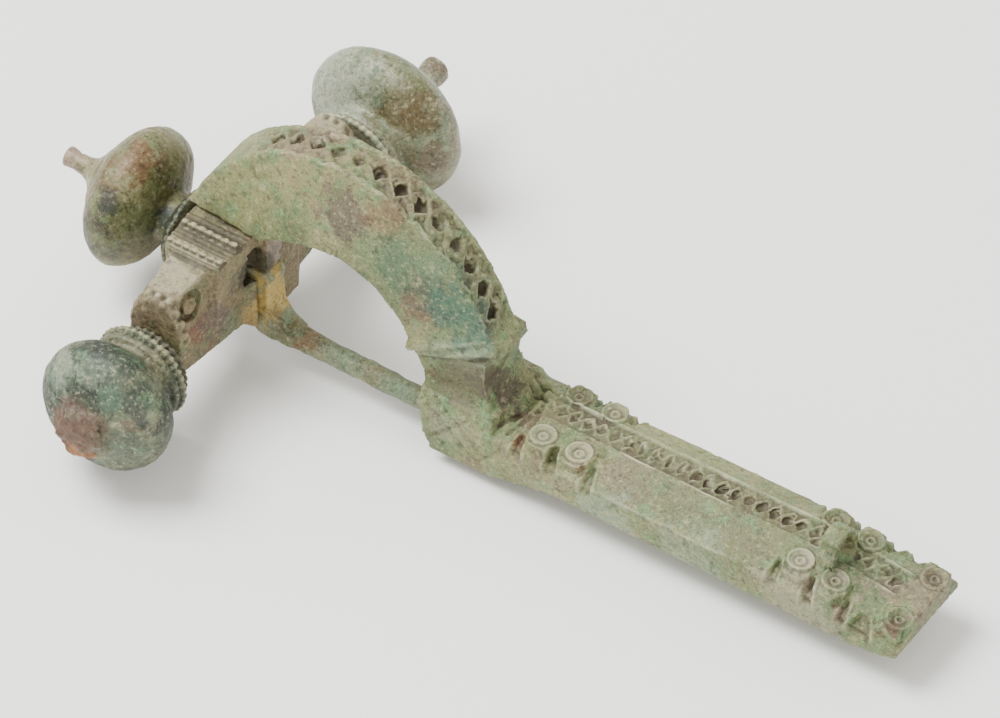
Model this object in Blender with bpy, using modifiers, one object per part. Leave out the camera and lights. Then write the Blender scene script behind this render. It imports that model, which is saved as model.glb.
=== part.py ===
"""Roman crossbow brooch: bow and foot, crossbar, three onion knobs and a hinged pin.

X runs from the head knob to the end of the foot, Y along the crossbar and Z up. Pieces are placed from the
middle of the crossbar, at the height of the side knobs' axis. One empty then carries them all, so that the
world's origin is the middle of the brooch's outline, on the surface that it lies on.
"""

import bpy
import bmesh
from math import asin, cos, pi, radians, sin, tan, tau
from mathutils import Matrix, Vector

# Driving dimensions in metres, heights measured from the side knobs' axis

CLEARANCE = 0.0003
OVERLAP = 0.0004
CUT_PAST = 0.0020

BAR_REACH = 0.0138
BAR_TOP_AT_BOW = 0.0078
BAR_TOP_AT_END = 0.0066
BAR_BOTTOM_AT_HINGE = -0.0037
BAR_BOTTOM_AT_KINK = -0.0027
BAR_BOTTOM_AT_END = -0.0011
BAR_WIDTH_AT_BOW = 0.0064
BAR_WIDTH_ON_TOP = 0.0031
BAR_WIDTH_BELOW = 0.0050
HINGE_BLOCK_LENGTH = 0.0062
KINK_LENGTH = 0.0012
MOULDING_LENGTH = 0.0164
MOULDING_STEP = 0.0006
BEAD_ROW_DISTANCES = (0.0054, 0.0076)
BEAD_SIZE = 0.0009
BEADS_PER_ROW = 7
END_RING_RADIUS = 0.0042
END_RING_NARROWING = 0.68
END_RING_HEIGHT = 0.0027
END_RING_LENGTH = 0.0010
END_RING_BEADS = 18
VOLUTE_RADIUS = 0.0016
VOLUTE_BOSS_RADIUS = 0.0008
VOLUTE_DISTANCE = 0.0112
VOLUTE_HEIGHT = 0.0050
VOLUTE_DEPTH = 0.0005
HOLLOW_DEPTH = 0.0014
HOLLOW_WIDTH = 0.0013
HOLLOW_HEIGHT = 0.0040

RIGHT_KNOB_REACH = 0.0068
RIGHT_KNOB_RADIUS = 0.0063
RIGHT_KNOB_LENGTH = 0.0080
LEFT_KNOB_REACH = 0.0072
LEFT_KNOB_RADIUS = 0.0076
LEFT_KNOB_LENGTH = 0.0074
HEAD_KNOB_REACH = 0.0081
HEAD_KNOB_RADIUS = 0.0066
HEAD_KNOB_LENGTH = 0.0074
HEAD_KNOB_HEIGHT = 0.0017
HEAD_KNOB_TILT = 6.0
SIDE_COLLAR_RADIUS = 0.0047
SIDE_COLLAR_SETBACK = 0.0010
HEAD_COLLAR_RADIUS = 0.0041
COLLAR_LENGTH = 0.0012
COLLAR_NICKS = 18
SIDE_STEM_RADIUS = 0.0040
HEAD_STEM_RADIUS = 0.0024
HEAD_STEM_LENGTH = 0.0020
HEAD_FINIAL_LENGTH = 0.0077
LEFT_FINIAL_LENGTH = 0.0082
HEAD_FINIAL_RADIUS = 0.0008
LEFT_FINIAL_RADIUS = 0.0012
FINIAL_SWELL = 1.6
BREAK_RADIUS = 0.0028
BREAK_HEIGHT = 0.0010

BOW_MIDDLE = 0.0111
BOW_HALF_LENGTH = 0.0161
BOW_TOP = 0.0190
BOW_SPRINGING = 0.0015
BOW_WIDTH_ABOVE = 0.0041
BOW_FLARE = 0.0034
BOW_FLARE_ANGLE = 120.0
BOW_WIDTH_AT_HEAD = 0.0086
BOW_WIDTH_AT_FOOT = 0.0070
BOW_END_ANGLE_ON_BACK = 11.0
BOW_END_ANGLE_UNDER = 20.0
BOW_HEAD_ANGLE = 172.0
ARCH_HALF_LENGTH_AT_HEAD = 0.0111
ARCH_HALF_LENGTH_AT_FOOT = 0.0090
ARCH_TOP = 0.0103
BOW_LOZENGES = 13
BOW_LOZENGE_START = 118.0
BOW_LOZENGE_END = 24.0
LOZENGE_WIDTH = 0.0020
LOZENGE_DEPTH = 0.0006
LIP_LENGTH = 0.0016
LIP_OVERHANG = 0.0005
LIP_LOBE = 0.0004
NECK_WIDTH = 0.0064
NECK_WAIST = 0.0003
NECK_SETBACK = 0.0008

FOOT_START = 0.0209
FOOT_LENGTH = 0.0489
FOOT_WIDTH_AT_BOW = 0.0091
FOOT_WIDTH_AT_END = 0.0101
FOOT_TOP = -0.0005
FOOT_BOTTOM = -0.0050
FACET_DROP = 0.0013
BAND_WIDTH = 0.0026
BAND_OFFSET = 0.0008
BLOCK_LENGTH = 0.0074
BLOCK_TOP = 0.0001
BLOCK_TOP_DROP = 0.0005
BLOCK_LEAN = 0.0004
BLOCK_TOP_WIDTH = 0.0080
BLOCK_BOTTOM = -0.0065
BLOCK_TAIL = 0.0080
FOOT_END_SLOPE = 0.0110
FOOT_END_DROP = 0.0016
FOOT_END_THICKNESS = 0.0015
FOOT_END_ROUNDING = 0.0044
CHANNEL_WALL = 0.0011
CHANNEL_ROOF = 0.0030
CHANNEL_END_WALL = 0.0060
FOOT_LOZENGES = 14
TAB_LENGTH = 0.0029
TAB_MARGIN = 0.0005
TAB_SINK = 0.00006
TAB_NOTCH_DEPTH = 0.0021
TAB_NOTCH_LENGTH = 0.0011
RIGHT_RING_OFFSET = 0.0025
LEFT_RING_OFFSET = 0.0031
GROOVE_DISTANCE = 0.0084
GROOVE_LENGTH = 0.0016
GROOVE_DEPTH = 0.0010
RING_RADIUS = 0.0011
RING_DOT_RADIUS = 0.0004
RING_DEPTH = 0.0003
TABS_NEAR_BLOCK = (0.0117, 0.0154)
TABS_NEAR_END = (0.0378, 0.0413, 0.0477)
LOOP_DISTANCE = 0.0397
LOOP_SPAN = 0.0044
LOOP_RISE = 0.0027
LOOP_WIDTH = 0.0018
LOOP_THICKNESS = 0.0008
LOOP_OFFSET = 0.0001

PIN_ROOT_DIAMETER = 0.0022
PIN_FOOT_DIAMETER = 0.0018
PIN_POINT_DIAMETER = 0.0006
PIN_HEIGHT_AT_ROOT = -0.0044
PIN_HEIGHT_IN_FOOT = -0.0048
PIN_OFFSET = -0.0014
PIN_POINT_DISTANCE = 0.0210
HINGE_DISTANCE = 0.0006
HINGE_HEIGHT = 0.0006
ROOT_THICKNESS = 0.0024
ROOT_BACK = 0.0022
ROOT_REACH = 0.0042
ROOT_TOP = 0.0026
ROOT_BARREL_RADIUS = 0.0018
RIB_REACH = 0.0040

BOW_STATIONS = 20
KNOB_STATIONS = 12
ROUND_STEPS = 36
SMALL_ROUND_STEPS = 16
LOOP_STEPS = 8

# Sizes that follow from them

FOOT_END = FOOT_START + FOOT_LENGTH
BLOCK_END = FOOT_START + BLOCK_LENGTH
SLOT_WIDTH = ROOT_THICKNESS + 2 * CLEARANCE
RIGHT_KNOB_DISTANCE = BAR_REACH + CLEARANCE + RIGHT_KNOB_REACH
LEFT_KNOB_DISTANCE = BAR_REACH + CLEARANCE + LEFT_KNOB_REACH
HEAD_KNOB_DISTANCE = BAR_WIDTH_AT_BOW / 2 + CLEARANCE + HEAD_KNOB_REACH
BOW_SEAT = BAR_TOP_AT_BOW + CLEARANCE


def clear_scene():
    for old in list(bpy.data.objects):
        bpy.data.objects.remove(old, do_unlink=True)


def collection(name):
    made = bpy.data.collections.new(name)
    bpy.context.scene.collection.children.link(made)
    return made


def metal(name, colour, roughness, metallic):
    """A Principled BSDF material in one colour."""
    made = bpy.data.materials.new(name)
    made.use_nodes = True
    shader = made.node_tree.nodes["Principled BSDF"]
    shader.inputs["Base Color"].default_value = (*colour, 1.0)
    shader.inputs["Roughness"].default_value = roughness
    shader.inputs["Metallic"].default_value = metallic
    return made


def add_object(name, mesh_data, place, carrier, material=None):
    made = bpy.data.objects.new(name, mesh_data)
    place.objects.link(made)
    made.parent = carrier
    if material:
        made.data.materials.append(material)
    return made


def add_mesh(name, shape, place, carrier, material=None):
    """Turns a bmesh into an object of triangles, because its quads aren't all flat."""
    bmesh.ops.triangulate(shape, faces=shape.faces)
    bmesh.ops.recalc_face_normals(shape, faces=shape.faces)
    mesh_data = bpy.data.meshes.new(name)
    shape.to_mesh(mesh_data)
    shape.free()
    return add_object(name, mesh_data, place, carrier, material)


def as_cutter(tool):
    tool.hide_render = True
    tool.display_type = "WIRE"
    return tool


def boolean(target, tool, operation):
    step = target.modifiers.new(f"{operation.lower()} {tool.name}", "BOOLEAN")
    step.object = tool
    step.operation = operation
    step.solver = "EXACT"


def shade_round(target, angle=35.0):
    target.data.shade_smooth()
    target.data.set_sharp_from_angle(angle=radians(angle))


def loft(shape, rings):
    """Joins rings of points with faces and closes both ends."""
    rows = [[shape.verts.new(point) for point in ring] for ring in rings]
    count = len(rows[0])
    for before, after in zip(rows, rows[1:]):
        for i in range(count):
            j = (i + 1) % count
            shape.faces.new((before[i], before[j], after[j], after[i]))
    shape.faces.new(rows[0])
    shape.faces.new(rows[-1])


def box(shape, low, high):
    middle = (Vector(low) + Vector(high)) / 2
    size = Vector(high) - Vector(low)
    matrix = Matrix.Translation(middle) @ Matrix.Diagonal((*size, 1.0))
    bmesh.ops.create_cube(shape, size=1.0, matrix=matrix)


def lozenge(shape, centre, along, across, outward, length, width, depth):
    """A four-sided pyramid that cuts a lozenge of this length and width, with its base just above it."""
    lift = 0.15
    grow = 1 + lift
    base = centre + outward * depth * lift
    corners = [
        shape.verts.new(base + offset * grow)
        for offset in (along * length / 2, across * width / 2, -along * length / 2, -across * width / 2)
    ]
    tip = shape.verts.new(centre - outward * depth)
    shape.faces.new(corners)
    for i in range(4):
        shape.faces.new((corners[i], corners[(i + 1) % 4], tip))


# The bow follows two ellipses, one along its back and one under its arch

def bow_outside(angle):
    x = BOW_MIDDLE + BOW_HALF_LENGTH * cos(angle)
    z = BOW_SPRINGING + (BOW_TOP - BOW_SPRINGING) * sin(angle)
    return Vector((x, 0, z))


def bow_inside(angle):
    reach = ARCH_HALF_LENGTH_AT_FOOT if angle < pi / 2 else ARCH_HALF_LENGTH_AT_HEAD
    return Vector((BOW_MIDDLE + reach * cos(angle), 0, ARCH_TOP * sin(angle)))


def bow_ring(share, grow=0.0, lobe=0.0):
    """The bow's section at a share of its length from head to foot.

    It has four corners. It is made bigger all round by grow, and on the back by lobe as well.
    """
    back = radians(BOW_HEAD_ANGLE + (BOW_END_ANGLE_ON_BACK - BOW_HEAD_ANGLE) * share)
    under = radians(BOW_HEAD_ANGLE + (BOW_END_ANGLE_UNDER - BOW_HEAD_ANGLE) * share)
    outer, inner = bow_outside(back), bow_inside(under)
    outward = (outer - inner).normalized()
    outer = outer + outward * (grow + lobe)
    inner = inner - outward * grow * 0.4
    flare = max(0.0, (back - radians(BOW_FLARE_ANGLE)) / radians(BOW_HEAD_ANGLE - BOW_FLARE_ANGLE))
    above = Vector((0, (BOW_WIDTH_ABOVE + BOW_FLARE * flare) / 2 + grow, 0))
    width = BOW_WIDTH_AT_HEAD + (BOW_WIDTH_AT_FOOT - BOW_WIDTH_AT_HEAD) * share
    below = Vector((0, width / 2 + grow, 0))
    return [outer - above, outer + above, inner + below, inner - below]


def bow_frame(angle):
    """Centre of the back, direction along it and direction out of it."""
    step = 0.001
    centre = bow_outside(angle)
    along = (bow_outside(angle + step) - bow_outside(angle - step)).normalized()
    return centre, along, Vector((0, 1, 0)).cross(along)


def bow_body():
    shape = bmesh.new()
    loft(shape, [bow_ring(i / BOW_STATIONS) for i in range(BOW_STATIONS + 1)])
    return shape


def bow_seat_cut():
    """Cuts the bow's head flat where it sits on the crossbar."""
    shape = bmesh.new()
    reach = BOW_HALF_LENGTH
    end = BOW_MIDDLE - ARCH_HALF_LENGTH_AT_HEAD / 2
    box(shape, (BOW_MIDDLE - 2 * reach, -reach, -reach), (end, reach, BOW_SEAT))
    return shape


def bow_lozenges():
    shape = bmesh.new()
    first, last = radians(BOW_LOZENGE_START), radians(BOW_LOZENGE_END)
    pitch = BOW_HALF_LENGTH * (first - last) / BOW_LOZENGES
    for i in range(BOW_LOZENGES):
        angle = first + (last - first) * i / (BOW_LOZENGES - 1)
        centre, along, outward = bow_frame(angle)
        lozenge(shape, centre, along, Vector((0, 1, 0)), outward, pitch * 0.8, LOZENGE_WIDTH, LOZENGE_DEPTH)
    return shape


def lip():
    """The moulding round the bow's foot end, with its lobe on the back."""
    shape = bmesh.new()
    length = LIP_LENGTH / (BOW_HALF_LENGTH * radians(BOW_HEAD_ANGLE - BOW_END_ANGLE_ON_BACK))
    loft(shape, [
        bow_ring(1 - length, LIP_OVERHANG * 0.2, LIP_LOBE * 0.5),
        bow_ring(1 - length * 0.6, LIP_OVERHANG, LIP_LOBE),
        bow_ring(1 - length * 0.1, LIP_OVERHANG, LIP_LOBE),
        bow_ring(1 + length * 0.2, LIP_OVERHANG * 0.2, LIP_LOBE * 0.5),
    ])
    return shape


def neck():
    """The waisted block between the bow's lip and the foot."""
    shape = bmesh.new()
    outer = bow_outside(radians(BOW_END_ANGLE_ON_BACK))
    inner = bow_inside(radians(BOW_END_ANGLE_UNDER))
    low = BLOCK_TOP - OVERLAP
    half = NECK_WIDTH / 2
    waist_z = (inner.z + BLOCK_TOP) / 2
    levels = [
        (inner.x - NECK_WAIST, inner.z, outer.x, outer.z, half),
        (inner.x + NECK_WAIST, waist_z, outer.x - NECK_WAIST, waist_z + OVERLAP, half - NECK_WAIST),
        (FOOT_START, low, BLOCK_END - NECK_SETBACK, low, half),
    ]
    rings = []
    for x0, z0, x1, z1, y in levels:
        rings.append([Vector((x0, -y, z0)), Vector((x1, -y, z1)), Vector((x1, y, z1)), Vector((x0, y, z0))])
    loft(shape, rings)
    return shape


# The foot is a long box with a flat band between two facets, open below as a channel for the pin

def foot_width(x):
    share = (x - FOOT_START) / FOOT_LENGTH
    return FOOT_WIDTH_AT_BOW + (FOOT_WIDTH_AT_END - FOOT_WIDTH_AT_BOW) * share


def foot_top(x):
    """The band's height, which drops towards the end of the foot."""
    slope_start = FOOT_END - FOOT_END_SLOPE
    share = max(0.0, (x - slope_start) / FOOT_END_SLOPE)
    return FOOT_TOP - FOOT_END_DROP * share


def foot_section(x, bottom):
    half, top = foot_width(x) / 2, foot_top(x)
    side = top - FACET_DROP
    near, far = BAND_OFFSET - BAND_WIDTH / 2, BAND_OFFSET + BAND_WIDTH / 2
    return [
        Vector((x, -half, bottom)), Vector((x, -half, side)), Vector((x, near, top)),
        Vector((x, far, top)), Vector((x, half, side)), Vector((x, half, bottom)),
    ]


def foot_body():
    shape = bmesh.new()
    end_bottom = foot_top(FOOT_END) - FACET_DROP - FOOT_END_THICKNESS / 2
    loft(shape, [
        foot_section(FOOT_START + OVERLAP, FOOT_BOTTOM),
        foot_section(FOOT_END - FOOT_END_SLOPE, FOOT_BOTTOM),
        foot_section(FOOT_END - FOOT_END_ROUNDING, FOOT_BOTTOM),
        foot_section(FOOT_END - FOOT_END_ROUNDING / 3, (FOOT_BOTTOM + end_bottom) / 2),
        foot_section(FOOT_END, end_bottom),
    ])
    return shape


def start_block():
    """The deep rounded block that carries the neck, with a tail that runs out under the foot."""
    shape = bmesh.new()
    low_half, top_half = FOOT_WIDTH_AT_BOW / 2, BLOCK_TOP_WIDTH / 2
    shoulder = FOOT_TOP - FACET_DROP / 2
    buried = FOOT_TOP - 2 * FACET_DROP
    tail_half, tail_bottom = low_half - OVERLAP, FOOT_BOTTOM + OVERLAP
    stations = (
        (FOOT_START, BLOCK_LEAN, BLOCK_TOP, top_half, shoulder, FOOT_BOTTOM + BLOCK_LEAN),
        (FOOT_START + OVERLAP, 2 * BLOCK_LEAN, BLOCK_TOP, top_half, shoulder, BLOCK_BOTTOM),
        (BLOCK_END, 0.0, BLOCK_TOP - BLOCK_TOP_DROP, top_half, shoulder - OVERLAP, BLOCK_BOTTOM),
        (BLOCK_END + OVERLAP, BLOCK_TAIL, buried, tail_half, buried - OVERLAP, tail_bottom),
    )
    rings = []
    for x, lean, top, half, side, bottom in stations:
        low = x + lean
        rings.append([
            Vector((x, -half, top)), Vector((x, half, top)), Vector((x, low_half, side)),
            Vector((low, low_half, bottom)), Vector((low, -low_half, bottom)), Vector((x, -low_half, side)),
        ])
    loft(shape, rings)
    return shape


def groove():
    """The V-shaped groove across the foot between its block and the first tabs."""
    shape = bmesh.new()
    x, half = FOOT_START + GROOVE_DISTANCE, FOOT_WIDTH_AT_END
    low, high = FOOT_TOP - GROOVE_DEPTH, FOOT_TOP + GROOVE_DEPTH
    corners = ((x - GROOVE_LENGTH, high), (x + GROOVE_LENGTH, high), (x, low))
    loft(shape, [[Vector((along, y, z)) for along, z in corners] for y in (-half, half)])
    return shape


def channel():
    """The trough under the foot that catches the pin."""
    shape = bmesh.new()
    half = FOOT_WIDTH_AT_BOW / 2 - CHANNEL_WALL
    deep = FOOT_TOP - CHANNEL_ROOF
    low = BLOCK_BOTTOM - CUT_PAST
    box(shape, (FOOT_START - CUT_PAST, -half, low), (FOOT_END - CHANNEL_END_WALL, half, deep))
    return shape


def tab_groups():
    """Start and end of each carved stretch, as distances along X."""
    for group in (TABS_NEAR_BLOCK, TABS_NEAR_END[:2], TABS_NEAR_END[2:]):
        start = FOOT_START + group[0] - TAB_LENGTH / 2
        end = min(FOOT_START + group[-1] + TAB_LENGTH / 2, FOOT_END - CLEARANCE)
        yield start, end


def ring_places():
    for distance in TABS_NEAR_BLOCK + TABS_NEAR_END:
        for side in (-1, 1):
            x = FOOT_START + distance
            offset = RIGHT_RING_OFFSET if side < 0 else LEFT_RING_OFFSET
            yield Vector((x, side * offset, foot_top(x) - TAB_SINK))


def tab_plates():
    """The stretches where the facets are left uncut, level with the band."""
    shape = bmesh.new()
    for start, end in tab_groups():
        rings = []
        for x in (start, end):
            half, top = foot_width(x) / 2 - TAB_MARGIN, foot_top(x) - TAB_SINK
            low = top - FACET_DROP - OVERLAP
            corners = ((-half, low), (half, low), (half, top), (-half, top))
            rings.append([Vector((x, y, z)) for y, z in corners])
        loft(shape, rings)
    return shape


def tab_notches():
    """V-shaped notches that part the tabs along both edges, cut down to the facets."""
    shape = bmesh.new()
    for group in (TABS_NEAR_BLOCK, TABS_NEAR_END[:2]):
        centres = [FOOT_START + distance for distance in group]
        places = [centres[0] - TAB_LENGTH / 2, sum(centres) / 2, centres[1] + TAB_LENGTH / 2]
        for x in places:
            for side in (-1, 1):
                half = foot_width(x) / 2
                top, low = foot_top(x) + FACET_DROP, foot_top(x) - FACET_DROP * 0.8
                outer, inner = side * (half + OVERLAP), side * (half - TAB_NOTCH_DEPTH)
                reach = TAB_NOTCH_LENGTH
                corners = ((x - reach, outer), (x + reach, outer), (x, inner))
                loft(shape, [[Vector((*corner, z)) for corner in corners] for z in (low, top)])
    return shape


def ring_grooves():
    """A turned groove round each dot."""
    shape = bmesh.new()
    middle = (RING_RADIUS + RING_DOT_RADIUS) / 2
    half = (RING_RADIUS - RING_DOT_RADIUS) / 2
    for place in ring_places():
        rings = []
        for i in range(SMALL_ROUND_STEPS):
            angle = tau * i / SMALL_ROUND_STEPS
            out = Vector((cos(angle), sin(angle), 0))
            rise = Vector((0, 0, RING_DEPTH))
            rings.append([
                shape.verts.new(place + out * (middle - half) + rise),
                shape.verts.new(place + out * middle - rise),
                shape.verts.new(place + out * (middle + half) + rise),
            ])
        for i in range(SMALL_ROUND_STEPS):
            here, after = rings[i], rings[(i + 1) % SMALL_ROUND_STEPS]
            for k in range(3):
                shape.faces.new((here[k], here[(k + 1) % 3], after[(k + 1) % 3], after[k]))
    return shape


def foot_lozenges():
    shape = bmesh.new()
    start = FOOT_START + TABS_NEAR_BLOCK[-1] + TAB_LENGTH
    end = FOOT_START + TABS_NEAR_END[0] - TAB_LENGTH / 2
    pitch = (end - start) / FOOT_LOZENGES
    for i in range(FOOT_LOZENGES):
        centre = Vector((start + pitch * (i + 0.5), BAND_OFFSET, FOOT_TOP))
        along, across, outward = Vector((1, 0, 0)), Vector((0, 1, 0)), Vector((0, 0, 1))
        lozenge(shape, centre, along, across, outward, pitch * 0.8, BAND_WIDTH * 0.8, LOZENGE_DEPTH)
    return shape


def strap_loop():
    """The small strap that arches over the band near the end of the foot."""
    shape = bmesh.new()
    x = FOOT_START + LOOP_DISTANCE
    centre = Vector((x, LOOP_OFFSET, foot_top(x)))
    half = Vector((LOOP_WIDTH / 2, 0, 0))
    inner_span, inner_rise = LOOP_SPAN / 2 - LOOP_THICKNESS, LOOP_RISE - LOOP_THICKNESS
    outer = [Vector((0, -LOOP_SPAN / 2, -OVERLAP))]
    inner = [Vector((0, -inner_span, -OVERLAP))]
    for i in range(LOOP_STEPS + 1):
        angle = pi * i / LOOP_STEPS
        outer.append(Vector((0, -cos(angle) * LOOP_SPAN / 2, sin(angle) * LOOP_RISE)))
        inner.append(Vector((0, -cos(angle) * inner_span, sin(angle) * inner_rise)))
    outer.append(Vector((0, LOOP_SPAN / 2, -OVERLAP)))
    inner.append(Vector((0, inner_span, -OVERLAP)))
    rings = []
    for out, within in zip(outer, inner):
        out, within = centre + out, centre + within
        rings.append([out - half, out + half, within + half, within - half])
    loft(shape, rings)
    return shape


def build_bow_and_foot(parts, cutters, carrier, material):
    body = add_mesh("bow_and_foot", foot_body(), parts, carrier, material)
    joined = {"bow": bow_body, "lip": lip, "neck": neck, "start block": start_block, "tab plates": tab_plates,
              "strap loop": strap_loop}
    cut = {"bow seat": bow_seat_cut, "tab notches": tab_notches, "groove": groove,
           "bow lozenges": bow_lozenges, "channel": channel, "ring grooves": ring_grooves,
           "foot lozenges": foot_lozenges}
    for operation, shapes in (("UNION", joined), ("DIFFERENCE", cut)):
        for name, make in shapes.items():
            tool = as_cutter(add_mesh(name, make(), cutters, carrier))
            if name in ("bow", "strap loop"):
                shade_round(tool)
            boolean(body, tool, operation)
    return body


# The crossbar is lofted along Y as one half and mirrored

def bar_section(y, top, bottom, top_width, bottom_width):
    return [
        Vector((-top_width / 2, y, top)), Vector((top_width / 2, y, top)),
        Vector((bottom_width / 2, y, bottom)), Vector((-bottom_width / 2, y, bottom)),
    ]


def bar_top(y):
    start = MOULDING_LENGTH / 2
    share = (y - start) / (BAR_REACH - start)
    return BAR_TOP_AT_BOW - MOULDING_STEP + (BAR_TOP_AT_END - BAR_TOP_AT_BOW + MOULDING_STEP) * share


def bar_bottom(y):
    start = HINGE_BLOCK_LENGTH / 2 + KINK_LENGTH
    share = (y - start) / (BAR_REACH - start)
    return BAR_BOTTOM_AT_KINK + (BAR_BOTTOM_AT_END - BAR_BOTTOM_AT_KINK) * share


def bar_half():
    shape = bmesh.new()
    block = HINGE_BLOCK_LENGTH / 2
    moulding = MOULDING_LENGTH / 2
    ring_start = BAR_REACH - END_RING_LENGTH / 2
    wide, narrow, below = BAR_WIDTH_AT_BOW, BAR_WIDTH_ON_TOP, BAR_WIDTH_BELOW
    rings = [
        bar_section(0.0, BAR_TOP_AT_BOW, BAR_BOTTOM_AT_HINGE, wide, wide),
        bar_section(block, BAR_TOP_AT_BOW, BAR_BOTTOM_AT_HINGE, wide, wide),
        bar_section(block + KINK_LENGTH, BAR_TOP_AT_BOW, BAR_BOTTOM_AT_KINK, wide, below),
        bar_section(moulding, BAR_TOP_AT_BOW - MOULDING_STEP / 2, bar_bottom(moulding), wide * 0.9, below),
        bar_section(moulding + OVERLAP, bar_top(moulding), bar_bottom(moulding), narrow * 1.2, below),
        bar_section(ring_start, bar_top(ring_start), bar_bottom(ring_start), narrow, below),
    ]
    loft(shape, rings)
    middle = [face for face in shape.faces if all(abs(v.co.y) < 1e-7 for v in face.verts)]
    bmesh.ops.delete(shape, geom=middle, context="FACES_ONLY")
    return shape


def bead_rod(shape, start, end, beads, size):
    """A row of beads between two points, as one rod that swells and narrows."""
    start, end = Vector(start), Vector(end)
    along = (end - start) / beads
    sides = 6
    across = [Vector((0, cos(tau * k / sides), sin(tau * k / sides))) for k in range(sides)]
    rings = []
    for i in range(beads):
        for share, radius in ((0.06, 0.32), (0.3, 0.5), (0.7, 0.5), (0.94, 0.32)):
            rings.append([start + along * (i + share) + out * size * radius for out in across])
    loft(shape, rings)


def bead_rows():
    shape = bmesh.new()
    half = BAR_WIDTH_AT_BOW / 2 * 0.94
    for side in (-1, 1):
        for distance in BEAD_ROW_DISTANCES:
            lower = 0.0 if distance == BEAD_ROW_DISTANCES[0] else MOULDING_STEP / 2
            z = BAR_TOP_AT_BOW - lower
            bead_rod(shape, (-half, side * distance, z), (half, side * distance, z), BEADS_PER_ROW, BEAD_SIZE)
    return shape


def nicked_ring(shape, centre, axis, radius, length, nicks, narrowing=1.0):
    """A disc whose rim is cut into nicks, made narrower along X if asked."""
    turn = Vector(axis).to_track_quat("Z", "Y").to_matrix()
    rings = []
    for share, shrink in ((-0.5, 0.94), (-0.25, 1.0), (0.25, 1.0), (0.5, 0.94)):
        ring = []
        for i in range(2 * nicks):
            angle = tau * i / (2 * nicks)
            reach = radius * shrink * (1.0 if i % 2 else 0.94)
            out = turn @ Vector((cos(angle) * reach, sin(angle) * reach, share * length))
            ring.append(Vector(centre) + Vector((out.x * narrowing, out.y, out.z)))
        rings.append(ring)
    loft(shape, rings)


def end_rings():
    shape = bmesh.new()
    for side in (-1, 1):
        centre = (0, side * (BAR_REACH - END_RING_LENGTH / 2), END_RING_HEIGHT)
        axis = (0, side, 0)
        nicked_ring(shape, centre, axis, END_RING_RADIUS, END_RING_LENGTH, END_RING_BEADS, END_RING_NARROWING)
    return shape


def hinge_slot():
    """The slot that the pin's root turns in, open below and to both sides."""
    shape = bmesh.new()
    wide = BAR_WIDTH_AT_BOW
    top = HINGE_HEIGHT + ROOT_BARREL_RADIUS + CLEARANCE
    low = BAR_BOTTOM_AT_HINGE - CUT_PAST
    box(shape, (-wide, PIN_OFFSET - SLOT_WIDTH / 2, low), (wide, PIN_OFFSET + SLOT_WIDTH / 2, top))
    return shape


def front_hollow():
    """The worn hollow in the crossbar's front, beside the rib and under the bow."""
    shape = bmesh.new()
    face = BAR_WIDTH_AT_BOW / 2
    near = PIN_OFFSET - SLOT_WIDTH / 2
    low = HINGE_HEIGHT + ROOT_BARREL_RADIUS - OVERLAP
    start, end = near - HOLLOW_WIDTH, near + OVERLAP
    box(shape, (face - HOLLOW_DEPTH, start, low), (face * 2, end, low + HOLLOW_HEIGHT))
    return shape


def front_rib():
    """The upright rib on the crossbar's front, from the top of the pin's root to under the bow."""
    shape = bmesh.new()
    half = ROOT_THICKNESS / 2
    low, top = ROOT_TOP + CLEARANCE, BAR_TOP_AT_BOW - OVERLAP
    box(shape, (BAR_WIDTH_AT_BOW / 2 - OVERLAP, PIN_OFFSET - half, low), (RIB_REACH, PIN_OFFSET + half, top))
    return shape


def volutes():
    """Engraved rings on both faces of each arm."""
    shape = bmesh.new()
    steps = SMALL_ROUND_STEPS
    top, bottom = bar_top(VOLUTE_DISTANCE), bar_bottom(VOLUTE_DISTANCE)
    slope = (BAR_WIDTH_BELOW - BAR_WIDTH_ON_TOP) / 2 / (top - bottom)
    face = BAR_WIDTH_ON_TOP / 2 + slope * (top - VOLUTE_HEIGHT)
    for across in (-1, 1):
        for side in (-1, 1):
            rings = []
            for i in range(steps):
                angle = tau * i / steps
                out = Vector((0, cos(angle), sin(angle)))
                centre = Vector((across * face, side * VOLUTE_DISTANCE, VOLUTE_HEIGHT))
                deep = Vector((across * VOLUTE_DEPTH, 0, 0))
                rings.append([
                    shape.verts.new(centre + out * VOLUTE_BOSS_RADIUS - deep),
                    shape.verts.new(centre + out * VOLUTE_RADIUS - deep),
                    shape.verts.new(centre + out * VOLUTE_RADIUS + 3 * deep),
                    shape.verts.new(centre + out * VOLUTE_BOSS_RADIUS + 3 * deep),
                ])
            for i in range(steps):
                here, after = rings[i], rings[(i + 1) % steps]
                for k in range(4):
                    shape.faces.new((here[k], here[(k + 1) % 4], after[(k + 1) % 4], after[k]))
    return shape


def build_crossbar(parts, cutters, carrier, material):
    bar = add_mesh("crossbar", bar_half(), parts, carrier, material)
    mirror = bar.modifiers.new("other arm", "MIRROR")
    mirror.use_axis = (False, True, False)
    mirror.merge_threshold = 0.00001
    for name, make, operation in (
        ("end rings", end_rings, "UNION"), ("bead rows", bead_rows, "UNION"),
        ("hinge slot", hinge_slot, "DIFFERENCE"), ("front hollow", front_hollow, "DIFFERENCE"),
        ("front rib", front_rib, "UNION"),
        ("volutes", volutes, "DIFFERENCE"),
    ):
        tool = as_cutter(add_mesh(name, make(), cutters, carrier))
        boolean(bar, tool, operation)
    return bar


# Knobs are turned: a profile of radius and distance along the axis, from the finial down to the collar

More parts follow.
